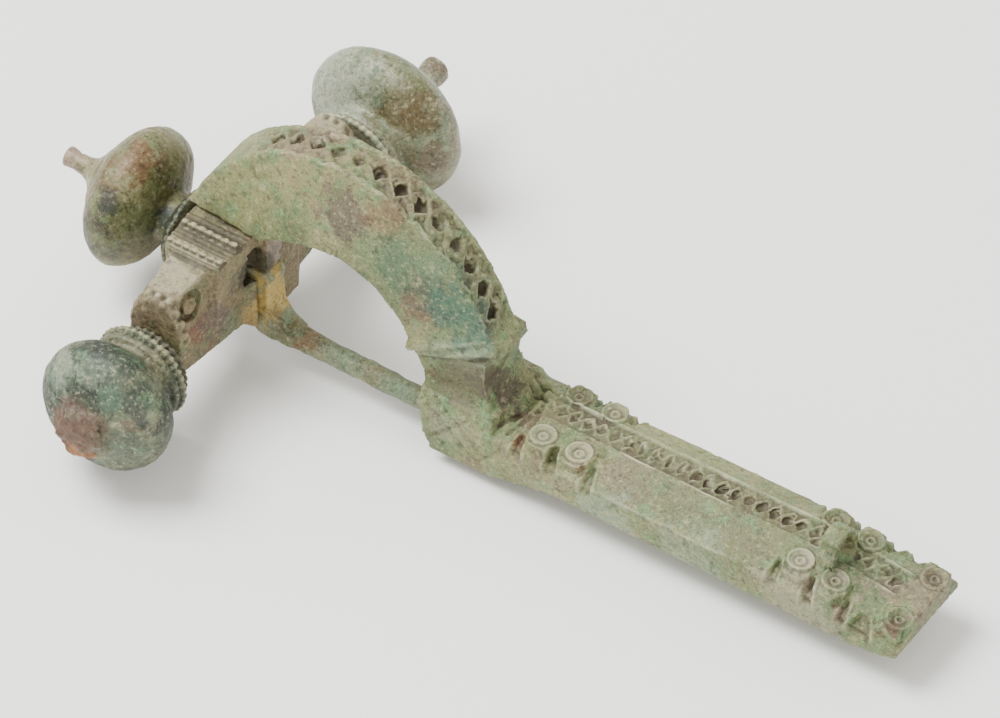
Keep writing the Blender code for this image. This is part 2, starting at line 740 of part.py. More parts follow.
def onion_profile(radius, length, stem_radius, finial):
    """Half-outline of an onion knob about its widest place, which is at zero.

    Its finial is a length and a tip radius. A knob that has lost its finial ends in a low stump.
    """
    half = length / 2
    outline = []
    if finial:
        finial_length, tip = finial
        base = tip * FINIAL_SWELL
        middle = (finial_length + half) / 2
        outline += [(0.0, finial_length), (tip, finial_length), (tip, middle), (base, half)]
        first = asin(base * 1.5 / radius)
    else:
        outline += [(0.0, half + BREAK_HEIGHT), (BREAK_RADIUS * 0.7, half + BREAK_HEIGHT * 0.7)]
        first = asin(BREAK_RADIUS / radius)
    last = pi - asin(stem_radius / radius)
    steps = KNOB_STATIONS // 2
    angles = [first + (pi / 2 - first) * i / steps for i in range(steps)]
    angles += [pi / 2 + (last - pi / 2) * i / steps for i in range(steps + 1)]
    outline += [(radius * sin(angle), half * cos(angle)) for angle in angles]
    return outline


def turned(name, outline, parts, carrier, material):
    """A Screw modifier turns the outline about Z."""
    mesh_data = bpy.data.meshes.new(name)
    points = [(radius, 0.0, height) for radius, height in outline]
    edges = [(i, i + 1) for i in range(len(points) - 1)]
    mesh_data.from_pydata(points, edges, [])
    made = add_object(name, mesh_data, parts, carrier, material)
    screw = made.modifiers.new("turned", "SCREW")
    screw.steps = ROUND_STEPS
    screw.render_steps = ROUND_STEPS
    screw.use_merge_vertices = True
    screw.merge_threshold = 0.00001
    return made


def build_knob(name, radius, length, stem_radius, finial, reach, collar, parts, cutters, carrier, material):
    """A knob whose widest place is the origin, with its collar reach behind it."""
    outline = onion_profile(radius, length, stem_radius, finial)
    collar_radius, collar_front, stem_end = collar
    end = stem_end - reach
    outline += [(stem_radius, collar_front - reach), (stem_radius * 0.92, end), (0.0, end)]
    knob = turned(name, outline, parts, carrier, material)
    shape = bmesh.new()
    centre = (0, 0, collar_front - reach + COLLAR_LENGTH / 2)
    nicked_ring(shape, centre, (0, 0, 1), collar_radius, COLLAR_LENGTH, COLLAR_NICKS)
    tool = as_cutter(add_mesh(f"{name} collar", shape, cutters, carrier))
    boolean(knob, tool, "UNION")
    return knob, tool


def place_on_axis(pieces, direction, distance, height):
    """Points the pieces out along a direction, at a distance measured level from the crossbar's middle."""
    level = Vector((direction.x, direction.y, 0)).normalized()
    for piece in pieces:
        piece.rotation_euler = direction.to_track_quat("Z", "Y").to_euler()
        piece.location = level * distance + Vector((0, 0, height))


# The pin turns in the crossbar's slot, and its point lies in the foot

def pin_root():
    """Outline of the root plate: a rounded back in the slot and a lug on the crossbar's front."""
    outline = []
    steps = 8
    for i in range(steps + 1):
        angle = radians(90 + 150 * i / steps)
        reach = ROOT_BARREL_RADIUS
        outline.append((HINGE_DISTANCE + reach * cos(angle), HINGE_HEIGHT + reach * sin(angle)))
    radius = PIN_ROOT_DIAMETER / 2
    low, high = PIN_HEIGHT_AT_ROOT - radius / 2, PIN_HEIGHT_AT_ROOT + radius / 2
    back, end = HINGE_DISTANCE + ROOT_BACK, ROOT_REACH + radius
    outline += [(back, low), (end + radius, low), (end + radius, high), (end, high + radius / 2)]
    outline += [(ROOT_REACH, high + 2 * radius), (ROOT_REACH - radius / 4, HINGE_HEIGHT)]
    outline += [(ROOT_REACH, ROOT_TOP - radius / 2), (ROOT_REACH - radius / 2, ROOT_TOP)]
    return outline


def build_pin(parts, cutters, hinge, material):
    """Meshes are placed about the hinge's axis."""
    shape = bmesh.new()
    centre = Vector((HINGE_DISTANCE, PIN_OFFSET, HINGE_HEIGHT))
    rings = []
    for side in (-1, 1):
        y = side * ROOT_THICKNESS / 2
        rings.append([Vector((x - centre.x, y, z - centre.z)) for x, z in pin_root()])
    loft(shape, rings)
    pin = add_mesh("pin", shape, parts, hinge, material)
    shaft = bmesh.new()
    sizes = [
        (HINGE_DISTANCE + ROOT_BACK + OVERLAP, PIN_HEIGHT_AT_ROOT, PIN_ROOT_DIAMETER),
        (ROOT_REACH, PIN_HEIGHT_AT_ROOT, PIN_ROOT_DIAMETER),
        (FOOT_START, PIN_HEIGHT_IN_FOOT, PIN_FOOT_DIAMETER),
        (FOOT_START + PIN_POINT_DISTANCE * 0.7, PIN_HEIGHT_IN_FOOT, PIN_FOOT_DIAMETER * 0.8),
        (FOOT_START + PIN_POINT_DISTANCE, PIN_HEIGHT_IN_FOOT, PIN_POINT_DIAMETER),
    ]
    rings = []
    for x, height, diameter in sizes:
        ring = []
        for k in range(SMALL_ROUND_STEPS):
            angle = tau * k / SMALL_ROUND_STEPS
            ring.append(Vector((
                x - centre.x, cos(angle) * diameter / 2, height - centre.z + sin(angle) * diameter / 2,
            )))
        rings.append(ring)
    loft(shaft, rings)
    tool = as_cutter(add_mesh("pin shaft", shaft, cutters, hinge))
    shade_round(tool)
    boolean(pin, tool, "UNION")
    return pin


def outline_middle():
    """Middle of the brooch's outline seen from above, and its lowest place."""
    tilt = radians(HEAD_KNOB_TILT)
    finial_end = HEAD_KNOB_DISTANCE + HEAD_FINIAL_LENGTH * cos(tilt) + HEAD_FINIAL_RADIUS * sin(tilt)
    ends_x = (-finial_end, FOOT_END)
    right_end = RIGHT_KNOB_DISTANCE + RIGHT_KNOB_LENGTH / 2 + BREAK_HEIGHT
    left_end = LEFT_KNOB_DISTANCE + LEFT_FINIAL_LENGTH
    lowest = -max(LEFT_KNOB_RADIUS, RIGHT_KNOB_RADIUS)
    return Vector((sum(ends_x) / 2, (left_end - right_end) / 2, lowest))


def main():
    clear_scene()
    parts = collection("roman_crossbow_brooch")
    cutters = collection("cutters and joined shapes")
    carrier = bpy.data.objects.new("brooch", None)
    carrier.location = -outline_middle()
    parts.objects.link(carrier)
    hinge = bpy.data.objects.new("pin hinge", None)
    hinge.location = (HINGE_DISTANCE, PIN_OFFSET, HINGE_HEIGHT)
    hinge.parent = carrier
    parts.objects.link(hinge)

    foot_green = metal("sage green patina", (0.33, 0.36, 0.22), 0.6, 0.3)
    bar_grey = metal("grey-green patina", (0.35, 0.34, 0.25), 0.6, 0.3)
    head_olive = metal("olive patina", (0.20, 0.22, 0.12), 0.5, 0.4)
    dark_green = metal("dark blue-green patina", (0.11, 0.18, 0.14), 0.55, 0.4)
    pale_green = metal("pale grey-green patina", (0.30, 0.34, 0.27), 0.5, 0.4)
    pin_green = metal("bronze with green patina", (0.25, 0.27, 0.16), 0.55, 0.4)

    build_bow_and_foot(parts, cutters, carrier, foot_green)
    build_crossbar(parts, cutters, carrier, bar_grey)

    side_collar = (SIDE_COLLAR_RADIUS, SIDE_COLLAR_SETBACK, 0.0)
    right = build_knob("right_knob", RIGHT_KNOB_RADIUS, RIGHT_KNOB_LENGTH, SIDE_STEM_RADIUS, None,
                       RIGHT_KNOB_REACH, side_collar, parts, cutters, carrier, dark_green)
    place_on_axis(right, Vector((0, -1, 0)), RIGHT_KNOB_DISTANCE, 0.0)
    left = build_knob("left_knob", LEFT_KNOB_RADIUS, LEFT_KNOB_LENGTH, SIDE_STEM_RADIUS,
                      (LEFT_FINIAL_LENGTH, LEFT_FINIAL_RADIUS), LEFT_KNOB_REACH,
                      side_collar, parts, cutters, carrier, pale_green)
    place_on_axis(left, Vector((0, 1, 0)), LEFT_KNOB_DISTANCE, 0.0)
    tilt = radians(HEAD_KNOB_TILT)
    stem_end = HEAD_STEM_RADIUS * tan(tilt)
    head_collar = (HEAD_COLLAR_RADIUS, HEAD_STEM_LENGTH, stem_end)
    head = build_knob("head_knob", HEAD_KNOB_RADIUS, HEAD_KNOB_LENGTH, HEAD_STEM_RADIUS,
                      (HEAD_FINIAL_LENGTH, HEAD_FINIAL_RADIUS), HEAD_KNOB_REACH,
                      head_collar, parts, cutters, carrier, head_olive)
    place_on_axis(head, Vector((-cos(tilt), 0, sin(tilt))), HEAD_KNOB_DISTANCE, HEAD_KNOB_HEIGHT)

    build_pin(parts, cutters, hinge, pin_green)


main()
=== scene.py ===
# %% [markdown]
# # A late Roman crossbow brooch
#
# This brooch fastened a cloak sixteen hundred years ago. A tall bow joins a crossbar to a long foot, three
# onion knobs sit on the crossbar, and a hinged pin closes into the foot. It was cast in copper alloy, carved
# and punched by hand, and then lay in the ground until a crust of green, grey and brown minerals covered it.
#
# The solids give every piece its size and place. Here each one gets its carving, its corrosion and its colours.

import math

import bpy
import numpy as np
from mathutils import Matrix, Vector, noise


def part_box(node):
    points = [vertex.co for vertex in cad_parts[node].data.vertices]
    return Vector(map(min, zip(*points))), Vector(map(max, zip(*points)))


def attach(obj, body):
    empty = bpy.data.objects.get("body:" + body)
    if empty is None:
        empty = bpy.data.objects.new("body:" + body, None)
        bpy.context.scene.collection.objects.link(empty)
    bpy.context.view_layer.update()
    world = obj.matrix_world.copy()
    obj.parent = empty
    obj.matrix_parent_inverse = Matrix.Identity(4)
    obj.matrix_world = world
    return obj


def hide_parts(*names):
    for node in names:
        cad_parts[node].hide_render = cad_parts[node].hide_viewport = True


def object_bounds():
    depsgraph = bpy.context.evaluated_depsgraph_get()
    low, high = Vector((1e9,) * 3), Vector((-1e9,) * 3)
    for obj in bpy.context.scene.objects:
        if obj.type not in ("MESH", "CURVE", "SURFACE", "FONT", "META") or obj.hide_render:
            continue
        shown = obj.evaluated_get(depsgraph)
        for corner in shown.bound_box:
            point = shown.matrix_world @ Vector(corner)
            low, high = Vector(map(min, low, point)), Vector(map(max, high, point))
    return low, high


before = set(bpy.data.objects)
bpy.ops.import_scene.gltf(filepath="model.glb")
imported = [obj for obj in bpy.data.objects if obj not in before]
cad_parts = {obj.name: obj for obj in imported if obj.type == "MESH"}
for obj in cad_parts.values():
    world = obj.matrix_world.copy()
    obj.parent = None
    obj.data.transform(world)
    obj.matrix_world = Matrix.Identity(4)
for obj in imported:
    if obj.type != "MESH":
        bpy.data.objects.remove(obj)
cad_low, cad_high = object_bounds()
print("the solids measure", [round(side * 1000, 1) for side in cad_high - cad_low], "mm")

# %% [markdown]
# ## One ruler for everything
#
# A brooch this small is easiest to describe in millimetres from one point that the eye can find. The middle of
# the crossbar, at the height of the side knobs, is such a point, and two solids show where it is. X runs from
# there along the foot, Y to the larger knob and Z up.

# %% The ruler
MM = 0.001

knob_low, knob_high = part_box("left_knob")
bar_low, bar_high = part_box("crossbar")
MIDDLE = Vector((
    (knob_low.x + knob_high.x) / 2,
    (bar_low.y + bar_high.y) / 2,
    (knob_low.z + knob_high.z) / 2,
))


def at(x, y, z):
    """A place given in millimetres from the middle of the crossbar."""
    return MIDDLE + Vector((x, y, z)) * MM


print("the crossbar's middle is at", [round(value / MM, 2) for value in MIDDLE], "mm")

# %% [markdown]
# ## The camera
#
# The brooch was photographed from far away with a long lens, from its right and from high up, so its lines
# hardly converge. Three directions describe such a camera: to its right, up, and back towards it. The image is
# 1000 pixels wide, and a lens nine images long gives the same slight perspective.

# %% The camera
CAMERA_AZIMUTH = math.radians(33.76)
CAMERA_ELEVATION = math.radians(45.57)
CAMERA_ROLL = math.radians(0.16)
CAMERA_DISTANCE = 783.1
LENS_IN_IMAGE_WIDTHS = 9.0
AIM_RIGHT = 21.95
AIM_UP = -8.42

back = Vector((
    math.sin(CAMERA_AZIMUTH) * math.cos(CAMERA_ELEVATION),
    -math.cos(CAMERA_AZIMUTH) * math.cos(CAMERA_ELEVATION),
    math.sin(CAMERA_ELEVATION),
))
level = Vector((math.cos(CAMERA_AZIMUTH), math.sin(CAMERA_AZIMUTH), 0))
right = level * math.cos(CAMERA_ROLL) + back.cross(level) * math.sin(CAMERA_ROLL)
up = back.cross(right)
eye = MIDDLE + (back * CAMERA_DISTANCE + right * AIM_RIGHT + up * AIM_UP) * MM

camera_data = bpy.data.cameras.new("camera")
camera_data.sensor_width = 36.0
camera_data.lens = camera_data.sensor_width * LENS_IN_IMAGE_WIDTHS
camera_data.clip_start = 0.05
camera_data.clip_end = 10.0
camera = bpy.data.objects.new("camera", camera_data)
bpy.context.scene.collection.objects.link(camera)
turn = Matrix((right, up, back)).transposed().to_4x4()
camera.matrix_world = Matrix.Translation(eye) @ turn
bpy.context.scene.camera = camera
print("the camera stands", round((eye - MIDDLE).length / MM), "mm away")

# %% [markdown]
# ## Floor and light
#
# Museum photographs of small bronzes are lit softly, from a big lamp above and to the left and a weaker one on
# the other side, so that carving reads without hard shadows. Area lamps 30 to 50 centimetres wide do the same
# here, and a pale world fills the rest.

# %% The floor and the lights
FLOOR_GAP = 0.3
FLOOR_SIZE = 3.0
LAMP_AIM = at(22, 0, 0)
WORLD_STRENGTH = 1.10


def work_on(*objects):
    """Deselects everything, then selects these objects and makes the first one active."""
    if bpy.context.object and bpy.context.object.mode != "OBJECT":
        bpy.ops.object.mode_set(mode="OBJECT")
    bpy.ops.object.select_all(action="DESELECT")
    for chosen in objects:
        chosen.select_set(True)
    if objects:
        bpy.context.view_layer.objects.active = objects[0]


def linear(code):
    """Turns an sRGB hex colour into the linear values that shaders work with."""
    values = [int(code[i:i + 2], 16) / 255 for i in (1, 3, 5)]
    return [v / 12.92 if v <= 0.04045 else ((v + 0.055) / 1.055) ** 2.4 for v in values] + [1.0]


def soft_lamp(name, direction, distance, size, watts):
    """A square area lamp that looks at the brooch from one direction, with its distance and size in metres."""
    data = bpy.data.lights.new(name, "AREA")
    data.shape = "SQUARE"
    data.size = size
    data.energy = watts
    lamp = bpy.data.objects.new(name, data)
    bpy.context.scene.collection.objects.link(lamp)
    aim = Vector(direction).normalized()
    lamp.location = LAMP_AIM + aim * distance
    lamp.rotation_euler = aim.to_track_quat("Z", "Y").to_euler()


work_on()
bpy.ops.mesh.primitive_plane_add(size=FLOOR_SIZE, location=(0, 0, cad_low.z - FLOOR_GAP * MM))
floor = bpy.context.object
floor.name = "floor"
paper = bpy.data.materials.new("white paper")
paper.use_nodes = True
paper.node_tree.nodes["Principled BSDF"].inputs["Base Color"].default_value = linear("#FDFDFB")
paper.node_tree.nodes["Principled BSDF"].inputs["Roughness"].default_value = 0.9
floor.data.materials.append(paper)

soft_lamp("key lamp", (-0.50, -0.20, 1.0), distance=0.55, size=0.30, watts=5.4)
soft_lamp("fill lamp", (0.7, -1.0, 0.45), distance=0.60, size=0.50, watts=0.7)
soft_lamp("far lamp", (0.5, 1.0, 0.6), distance=0.60, size=0.40, watts=0.6)
air = bpy.data.worlds.new("pale studio")
air.use_nodes = True
air.node_tree.nodes["Background"].inputs["Color"].default_value = linear("#F7F5F0")
air.node_tree.nodes["Background"].inputs["Strength"].default_value = WORLD_STRENGTH
bpy.context.scene.world = air
print("the floor lies", FLOOR_GAP, "mm below the brooch")

# %% [markdown]
# ## Copying a solid and casting it again
#
# The solids have crisp, computed edges, and no ancient casting does. A voxel remesh rebuilds a copy as one
# even skin of tiny squares, as if it were poured anew, and a light smoothing wears its edges down. The even
# skin is also what carving and corrosion need: vertices everywhere, a fraction of a millimetre apart.

# %% Copy and recast
def copy_of(node, name):
    """A free copy of a solid, with its loose triangles merged into one skin."""
    made = bpy.data.objects.new(name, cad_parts[node].data.copy())
    made.data.name = name
    made.data.materials.clear()
    bpy.context.scene.collection.objects.link(made)
    work_on(made)
    bpy.ops.object.mode_set(mode="EDIT")
    bpy.ops.mesh.select_all(action="SELECT")
    bpy.ops.mesh.remove_doubles(threshold=0.001 * MM)
    bpy.ops.object.mode_set(mode="OBJECT")
    return made


def recast(piece, voxel, wear=2):
    """Rebuilds a piece as one skin of squares voxel millimetres wide, then wears it smooth."""
    work_on(piece)
    remesh = piece.modifiers.new("recast", "REMESH")
    remesh.mode = "VOXEL"
    remesh.voxel_size = voxel * MM
    bpy.ops.object.modifier_apply(modifier=remesh.name)
    smooth = piece.modifiers.new("wear", "SMOOTH")
    smooth.factor = 0.5
    smooth.iterations = wear
    bpy.ops.object.modifier_apply(modifier=smooth.name)
    bpy.ops.object.shade_smooth()
    print(piece.name, "has", len(piece.data.polygons), "faces of", voxel, "mm")


# %% [markdown]
# ## Reading and moving vertices
#
# Carving by hand means pushing the skin in along a line, and corrosion pushes it in and out unevenly. Both
# come down to one number per vertex: how many millimetres it moves along its normal. The helpers below read
# all places at once, turn distances into soft-edged strokes, and move the vertices. Noise depends on the place
# alone, so the brooch comes out the same each time.

# %% Tools for carving
def skin_of(piece):
    """Places in millimetres from the crossbar's middle, and normals, one row for each vertex."""
    places = np.empty(len(piece.data.vertices) * 3, np.float32)
    normals = np.empty(len(piece.data.vertices) * 3, np.float32)
    piece.data.vertices.foreach_get("co", places)
    piece.data.vertex_normals.foreach_get("vector", normals)
    return (places.reshape(-1, 3) - np.array(MIDDLE)) / MM, normals.reshape(-1, 3)


def put_back(piece, places):
    """Gives a piece new places, in millimetres from the crossbar's middle."""
    moved = places * MM + np.array(MIDDLE)
    piece.data.vertices.foreach_set("co", moved.astype(np.float32).ravel())
    piece.data.update()


def push(piece, depth):
    """Moves each vertex along its normal by its own depth in millimetres."""
    places, normals = skin_of(piece)
    put_back(piece, places + normals * depth[:, None])


def ease(value, low, high):
    """Rises smoothly from 0 at low to 1 at high."""
    share = np.clip((value - low) / (high - low), 0, 1)
    return share * share * (3 - 2 * share)


def stroke(distance, width):
    """1 along the middle of a line, falling to 0 just outside half its width."""
    return 1 - ease(np.abs(distance), width * 0.15, width * 0.55)


def clouds(places, size, octaves, seed):
    """Smooth noise from about -1 to 1 whose blotches are about size millimetres across."""
    shift = Vector((31.7, 17.3, 53.9)) * (seed + 1)
    return np.array([noise.fractal(Vector(place) / size + shift, 1.0, 2.0, octaves) for place in places])


def mark(piece, name, values):
    """Stores one number for each vertex under a name that materials can read."""
    layer = piece.data.attributes.new(name, "FLOAT", "POINT")
    layer.data.foreach_set("value", values.astype(np.float32))


def refine(piece, wanted):
    """Splits the chosen faces, and those with all their corners on them, in four for finer carving."""
    work_on(piece)
    centres = np.empty(len(piece.data.polygons) * 3, np.float32)
    normals = np.empty(len(piece.data.polygons) * 3, np.float32)
    piece.data.polygons.foreach_get("center", centres)
    piece.data.polygons.foreach_get("normal", normals)
    places = (centres.reshape(-1, 3) - np.array(MIDDLE)) / MM
    piece.data.polygons.foreach_set("select", wanted(places, normals.reshape(-1, 3)))
    bpy.ops.object.mode_set(mode="EDIT")
    bpy.context.tool_settings.mesh_select_mode = (False, False, True)
    bpy.ops.mesh.subdivide(number_cuts=1)
    bpy.ops.object.mode_set(mode="OBJECT")
    bpy.ops.object.shade_smooth()
    print(piece.name, "now has", len(piece.data.polygons), "faces")


def corrode(piece, rough, seed):
    """Swells the skin, lays a thin crust over it and eats pits, as burial does."""
    places, normals = skin_of(piece)
    swell = clouds(places, size=3.2, octaves=2, seed=seed) * 0.055
    crust = clouds(places, size=0.9, octaves=3, seed=seed + 1) * 0.045
    pits = ease(clouds(places, size=0.7, octaves=2, seed=seed + 2), 0.32, 0.62) * -0.09
    put_back(piece, places + normals * ((swell + crust + pits) * rough)[:, None])


# %% [markdown]
# ## The bow and foot
#
# Bow, neck and foot were cast in one. The founder's mould gave the arch and the long box, and chisels and a
# ring punch did the rest: a row of lozenges along the bow's back, a lattice along the foot's band, notched
# tabs and ring-and-dot marks. The copy is recast first, and the carved areas are refined, because a chisel
# line is only a third of a millimetre wide. The plain stretch beside the band stays coarse.

# %% Recast the bow and foot
CASTING_VOXEL = 0.225
BOW_MIDDLE = 11.1
BOW_HALF_LENGTH = 16.1
BOW_SPRINGING = 1.5
BOW_RISE = 17.5
BACK = 0.955
STRIP_HALF_WIDTH = 2.05
STRIP_MARGIN = 0.3
STRIP_ANGLES = (14, 128)
FOOT_START = 20.9
FOOT_END = 69.8
FOOT_TOP = -0.5
SLOPE_LENGTH = 11.0
SLOPE_DROP = 1.6
TOP_START = FOOT_START + 8
TOP_DEPTH = 1.1
BAND_MIDDLE = 0.8
BAND_HALF_WIDTH = 1.3
BAND_REACH = 1.9
PLAIN_START = 38.8
PLAIN_END = 56.3


def bow_angle(places):
    """Angle round the bow's ellipse and how far out a place is, where 1 is on its back."""
    x = (places[:, 0] - BOW_MIDDLE) / BOW_HALF_LENGTH
    z = (places[:, 2] - BOW_SPRINGING) / BOW_RISE
    return np.degrees(np.arctan2(z, x)), np.hypot(x, z)


def foot_top(x):
    """Height of the foot's top, which slopes down to its end."""
    return FOOT_TOP - SLOPE_DROP * np.clip((x - FOOT_END + SLOPE_LENGTH) / SLOPE_LENGTH, 0, 1)


def carved_areas(places, normals):
    """True on the bow's back strip and on the carved parts of the foot's top."""
    x, y, z = places.T
    angle, out = bow_angle(places)
    strip = (out > BACK) & (np.abs(y) < STRIP_HALF_WIDTH + STRIP_MARGIN)
    strip &= (angle > STRIP_ANGLES[0]) & (angle < STRIP_ANGLES[1])
    top = (x > TOP_START) & (np.abs(z - foot_top(x)) < TOP_DEPTH) & (normals[:, 2] > 0.3)
    plain = (x > PLAIN_START) & (x < PLAIN_END) & (np.abs(y - BAND_MIDDLE) > BAND_REACH)
    return strip | (top & ~plain)


casting = copy_of("bow_and_foot", "bow_and_foot_casting")
recast(casting, CASTING_VOXEL, wear=1)
refine(casting, carved_areas)

# %% [markdown]
# Ring-and-dot marks were struck with a hollow punch. Each has a sunk outline, a thin raised rim, a shallow bowl
# and a small raised boss in the middle. Its height depends only on the distance from its centre, so one
# profile serves all ten. The marks that rubbed against cloth are bright, and those near the tip are dull. In
# the list each mark's own brightness follows its places along and across the foot.

# %% Ring-and-dot marks
NEAR_RING_OFFSET = -2.5
FAR_RING_OFFSET = 3.1
RINGS = (
    (11.7, NEAR_RING_OFFSET, 0.5), (15.4, NEAR_RING_OFFSET, 0.6), (37.8, NEAR_RING_OFFSET, 0.6),
    (41.3, NEAR_RING_OFFSET, 0.2), (47.7, NEAR_RING_OFFSET, 0.1), (11.7, FAR_RING_OFFSET, 0.1),
    (15.4, FAR_RING_OFFSET, 0.35), (37.8, FAR_RING_OFFSET, 0.0), (41.3, FAR_RING_OFFSET, 0.15),
    (47.7, FAR_RING_OFFSET, 0.0),
)
RING_REACH = 1.5
RING_SINK = 0.04
SOILED_DEPTH = 0.2
RING_SOIL = 0.6


def circle(distance, radius, width, height):
    """Height of one round line, raised above 0 or sunk below it."""
    return stroke(distance - radius, width) * height


def ring_profile(distance):
    """Height of the mark in millimetres at a distance from its centre."""
    outline = circle(distance, radius=1.36, width=0.30, height=-0.14)
    rim = circle(distance, radius=1.12, width=0.34, height=0.10)
    bowl = (1 - ease(distance, low=0.30, high=1.15)) * -0.32
    boss = circle(distance, radius=0.34, width=0.30, height=0.20)
    return outline + rim + bowl + boss


def ring_shine(distance):
    """How bright a rubbed mark is: most on its rim and boss, least between them."""
    return (1 - ease(distance, low=1.1, high=1.3)) * (1 + circle(distance, radius=0.62, width=0.3, height=-0.5))


places, normals = skin_of(casting)
carved = np.zeros(len(places))
raised = np.zeros(len(places))
for start, offset, brightness in RINGS:
    distance = np.hypot(places[:, 0] - FOOT_START - start, places[:, 1] - offset)
    flat_here = foot_top(places[:, 0]) - RING_SINK
    inside = (distance < RING_REACH) & (np.abs(places[:, 2] - flat_here) < 0.6) & (normals[:, 2] > 0.2)
    height = ring_profile(distance)
    blend = (1 - ease(distance, 1.3, RING_REACH)) * inside
    places[:, 2] += (flat_here + height - places[:, 2]) * blend
    carved = np.maximum(carved, np.clip(-height / SOILED_DEPTH, 0, 1) * blend * RING_SOIL)
    raised = np.maximum(raised, ring_shine(distance) * blend * brightness)
put_back(casting, places)
print(len(RINGS), "ring-and-dot marks struck")

# %% [markdown]
# The lattice on the foot is two zigzag lines that cross, with the lozenges between them cut down, and a thin
# line left standing along each edge. A zigzag is a triangle wave, and the distance to the nearer of the two
# waves says how deep the chisel went. No hand is as steady as a formula, so slow noise makes the cuts deeper
# here and shallower there, and quick noise makes the lines slip.

# %% The foot's lattice
FOOT_LOZENGE = 1.35
FOOT_LOZENGE_HEIGHT = 0.95
LATTICE_START = 30.6
LATTICE_END = 67.6
STRAP_PLACE = 60.6
STRAP_LENGTH = 3.6
CELL_DEPTH = 0.24
CORNER_DEPTH = 0.10
BAND_DEPTH = 0.08
FAR_EDGE_RISE = 0.08
NEAR_EDGE_RISE = 0.04


def lattice(along, across, length, height):
    """Distance to two crossing zigzags: above 0 inside their lozenges and below 0 outside."""
    share = (along / (2 * length) + 0.5) % 1.0
    wave = height * np.abs(1 - np.abs(share - 0.5) * 4)
    lean = math.cos(math.atan(2 * height / length))
    return (wave - np.abs(across)) * lean


places, normals = skin_of(casting)
unsteady = clouds(places, size=2.5, octaves=2, seed=41)
slip = clouds(places, size=0.9, octaves=2, seed=43)
x = places[:, 0] + 0.38 * slip
ruled = places[:, 1] - BAND_MIDDLE
across = ruled + 0.16 * unsteady + 0.26 * slip
stretch = ease(x, LATTICE_START, LATTICE_START + 1) * (1 - ease(x, LATTICE_END - 1, LATTICE_END))
stretch *= 1 - stroke(x - STRAP_PLACE, STRAP_LENGTH)
stretch *= (np.abs(places[:, 2] - foot_top(x)) < 0.8) & (normals[:, 2] > 0.4)
inside = ease(BAND_HALF_WIDTH - np.abs(ruled), 0.0, 0.15) * stretch
place = lattice(x, across, FOOT_LOZENGE, FOOT_LOZENGE_HEIGHT)
cells = ease(place, 0.05, 0.30) * inside
corners = ease(-place, 0.08, 0.28) * inside
lines = stroke(place, 0.26) * inside
far_edge = stroke(ruled - BAND_HALF_WIDTH - 0.12, 0.30) * stretch
near_edge = stroke(ruled + BAND_HALF_WIDTH + 0.12, 0.26) * stretch
depth = (-CELL_DEPTH * cells - CORNER_DEPTH * corners - BAND_DEPTH * inside) * (1 + 0.9 * unsteady)
depth += FAR_EDGE_RISE * far_edge + NEAR_EDGE_RISE * near_edge
soil_grip = 0.85 + 0.4 * unsteady
carved = np.maximum(carved, (cells * 0.4 + corners * 0.25 + inside * 0.55) * soil_grip)
# The pale on the band's raised far edge is a painted highlight, a thin line of light along it.
rubbed = far_edge * (0.45 + 0.8 * unsteady) + near_edge * (0.2 + unsteady) + lines * (0.25 + 0.6 * slip)
raised = np.maximum(raised, rubbed)
print("the lattice has", int((LATTICE_END - LATTICE_START) / FOOT_LOZENGE), "lozenges in a row")

# %% [markdown]
# The bow's back has the same pattern, almost twice as large, round its arc. The angle round the ellipse takes
# the place of the distance along the foot, and the cuts are deeper and wider.

# %% The bow's lozenges
BOW_LOZENGE = 2.2
BOW_LOZENGE_HEIGHT = 1.15
BOW_LOZENGE_ANGLE = 7.83
FIRST_BOW_LOZENGE = 24.0
BOW_ROW_HALF_WIDTH = 1.6
BOW_EDGE_PLACE = 1.8
BOW_CELL_DEPTH = 0.36
BOW_CORNER_DEPTH = 0.18
BOW_LINE_RISE = 0.04
BOW_EDGE_RISE = 0.06

angle, out = bow_angle(places)
along = (angle - FIRST_BOW_LOZENGE) / BOW_LOZENGE_ANGLE * BOW_LOZENGE + 0.5 * slip
across = places[:, 1] + 0.2 * unsteady + 0.35 * slip
reach = ease(angle, 17, 21) * (1 - ease(angle, 119, 127)) * (out > 0.95)
middle = ease(BOW_ROW_HALF_WIDTH - np.abs(across), 0.0, 0.25) * reach
place = lattice(along, across, BOW_LOZENGE, BOW_LOZENGE_HEIGHT)
cells = ease(place, 0.05, 0.60) * middle
corners = ease(-place, 0.25, 0.6) * middle
lines = stroke(place, 0.36) * middle
edges = stroke(np.abs(across) - BOW_EDGE_PLACE, 0.36) * reach * (np.abs(places[:, 1]) < STRIP_HALF_WIDTH)
chiselled = -BOW_CELL_DEPTH * cells - BOW_CORNER_DEPTH * corners + BOW_LINE_RISE * lines
depth += chiselled * (1 + 0.8 * unsteady) + BOW_EDGE_RISE * edges
carved = np.maximum(carved, (cells * 0.55 + corners * 0.25 + middle * 0.5) * soil_grip)
raised = np.maximum(raised, (edges * 0.4 + lines * 0.2) * (0.3 + 1.6 * unsteady))
push(casting, depth)
print("the deepest chisel cut is", round(float(-depth.min()), 2), "mm")

# %% [markdown]
# At the bow's foot end a lip slopes up along each side, and the neck below it has a waist. The lip's mouldings
# are strokes, raised or sunk. A stroke between two points is the distance to that piece of line, so a short
# list of ends describes them, and the waist is whatever lies below the lip's own line. A band just under the
# lip is marked for a painted shadow.

# %% The lip and the neck
LIP_START = (19.8, 2.3)
LIP_SLOPE = 0.485
LIP_RIDGES = (((19.4, 3.6), (26.6, 6.9)), ((19.8, 2.7), (26.3, 5.8)))
LIP_GROOVES = (((19.5, 3.15), (27.0, 6.65)), ((20.0, 2.1), (26.5, 5.4)))
RIDGE_RISE = 0.09
GROOVE_DEPTH = 0.14
WAIST_DEPTH = 0.28
LIP_WAVER = 0.15


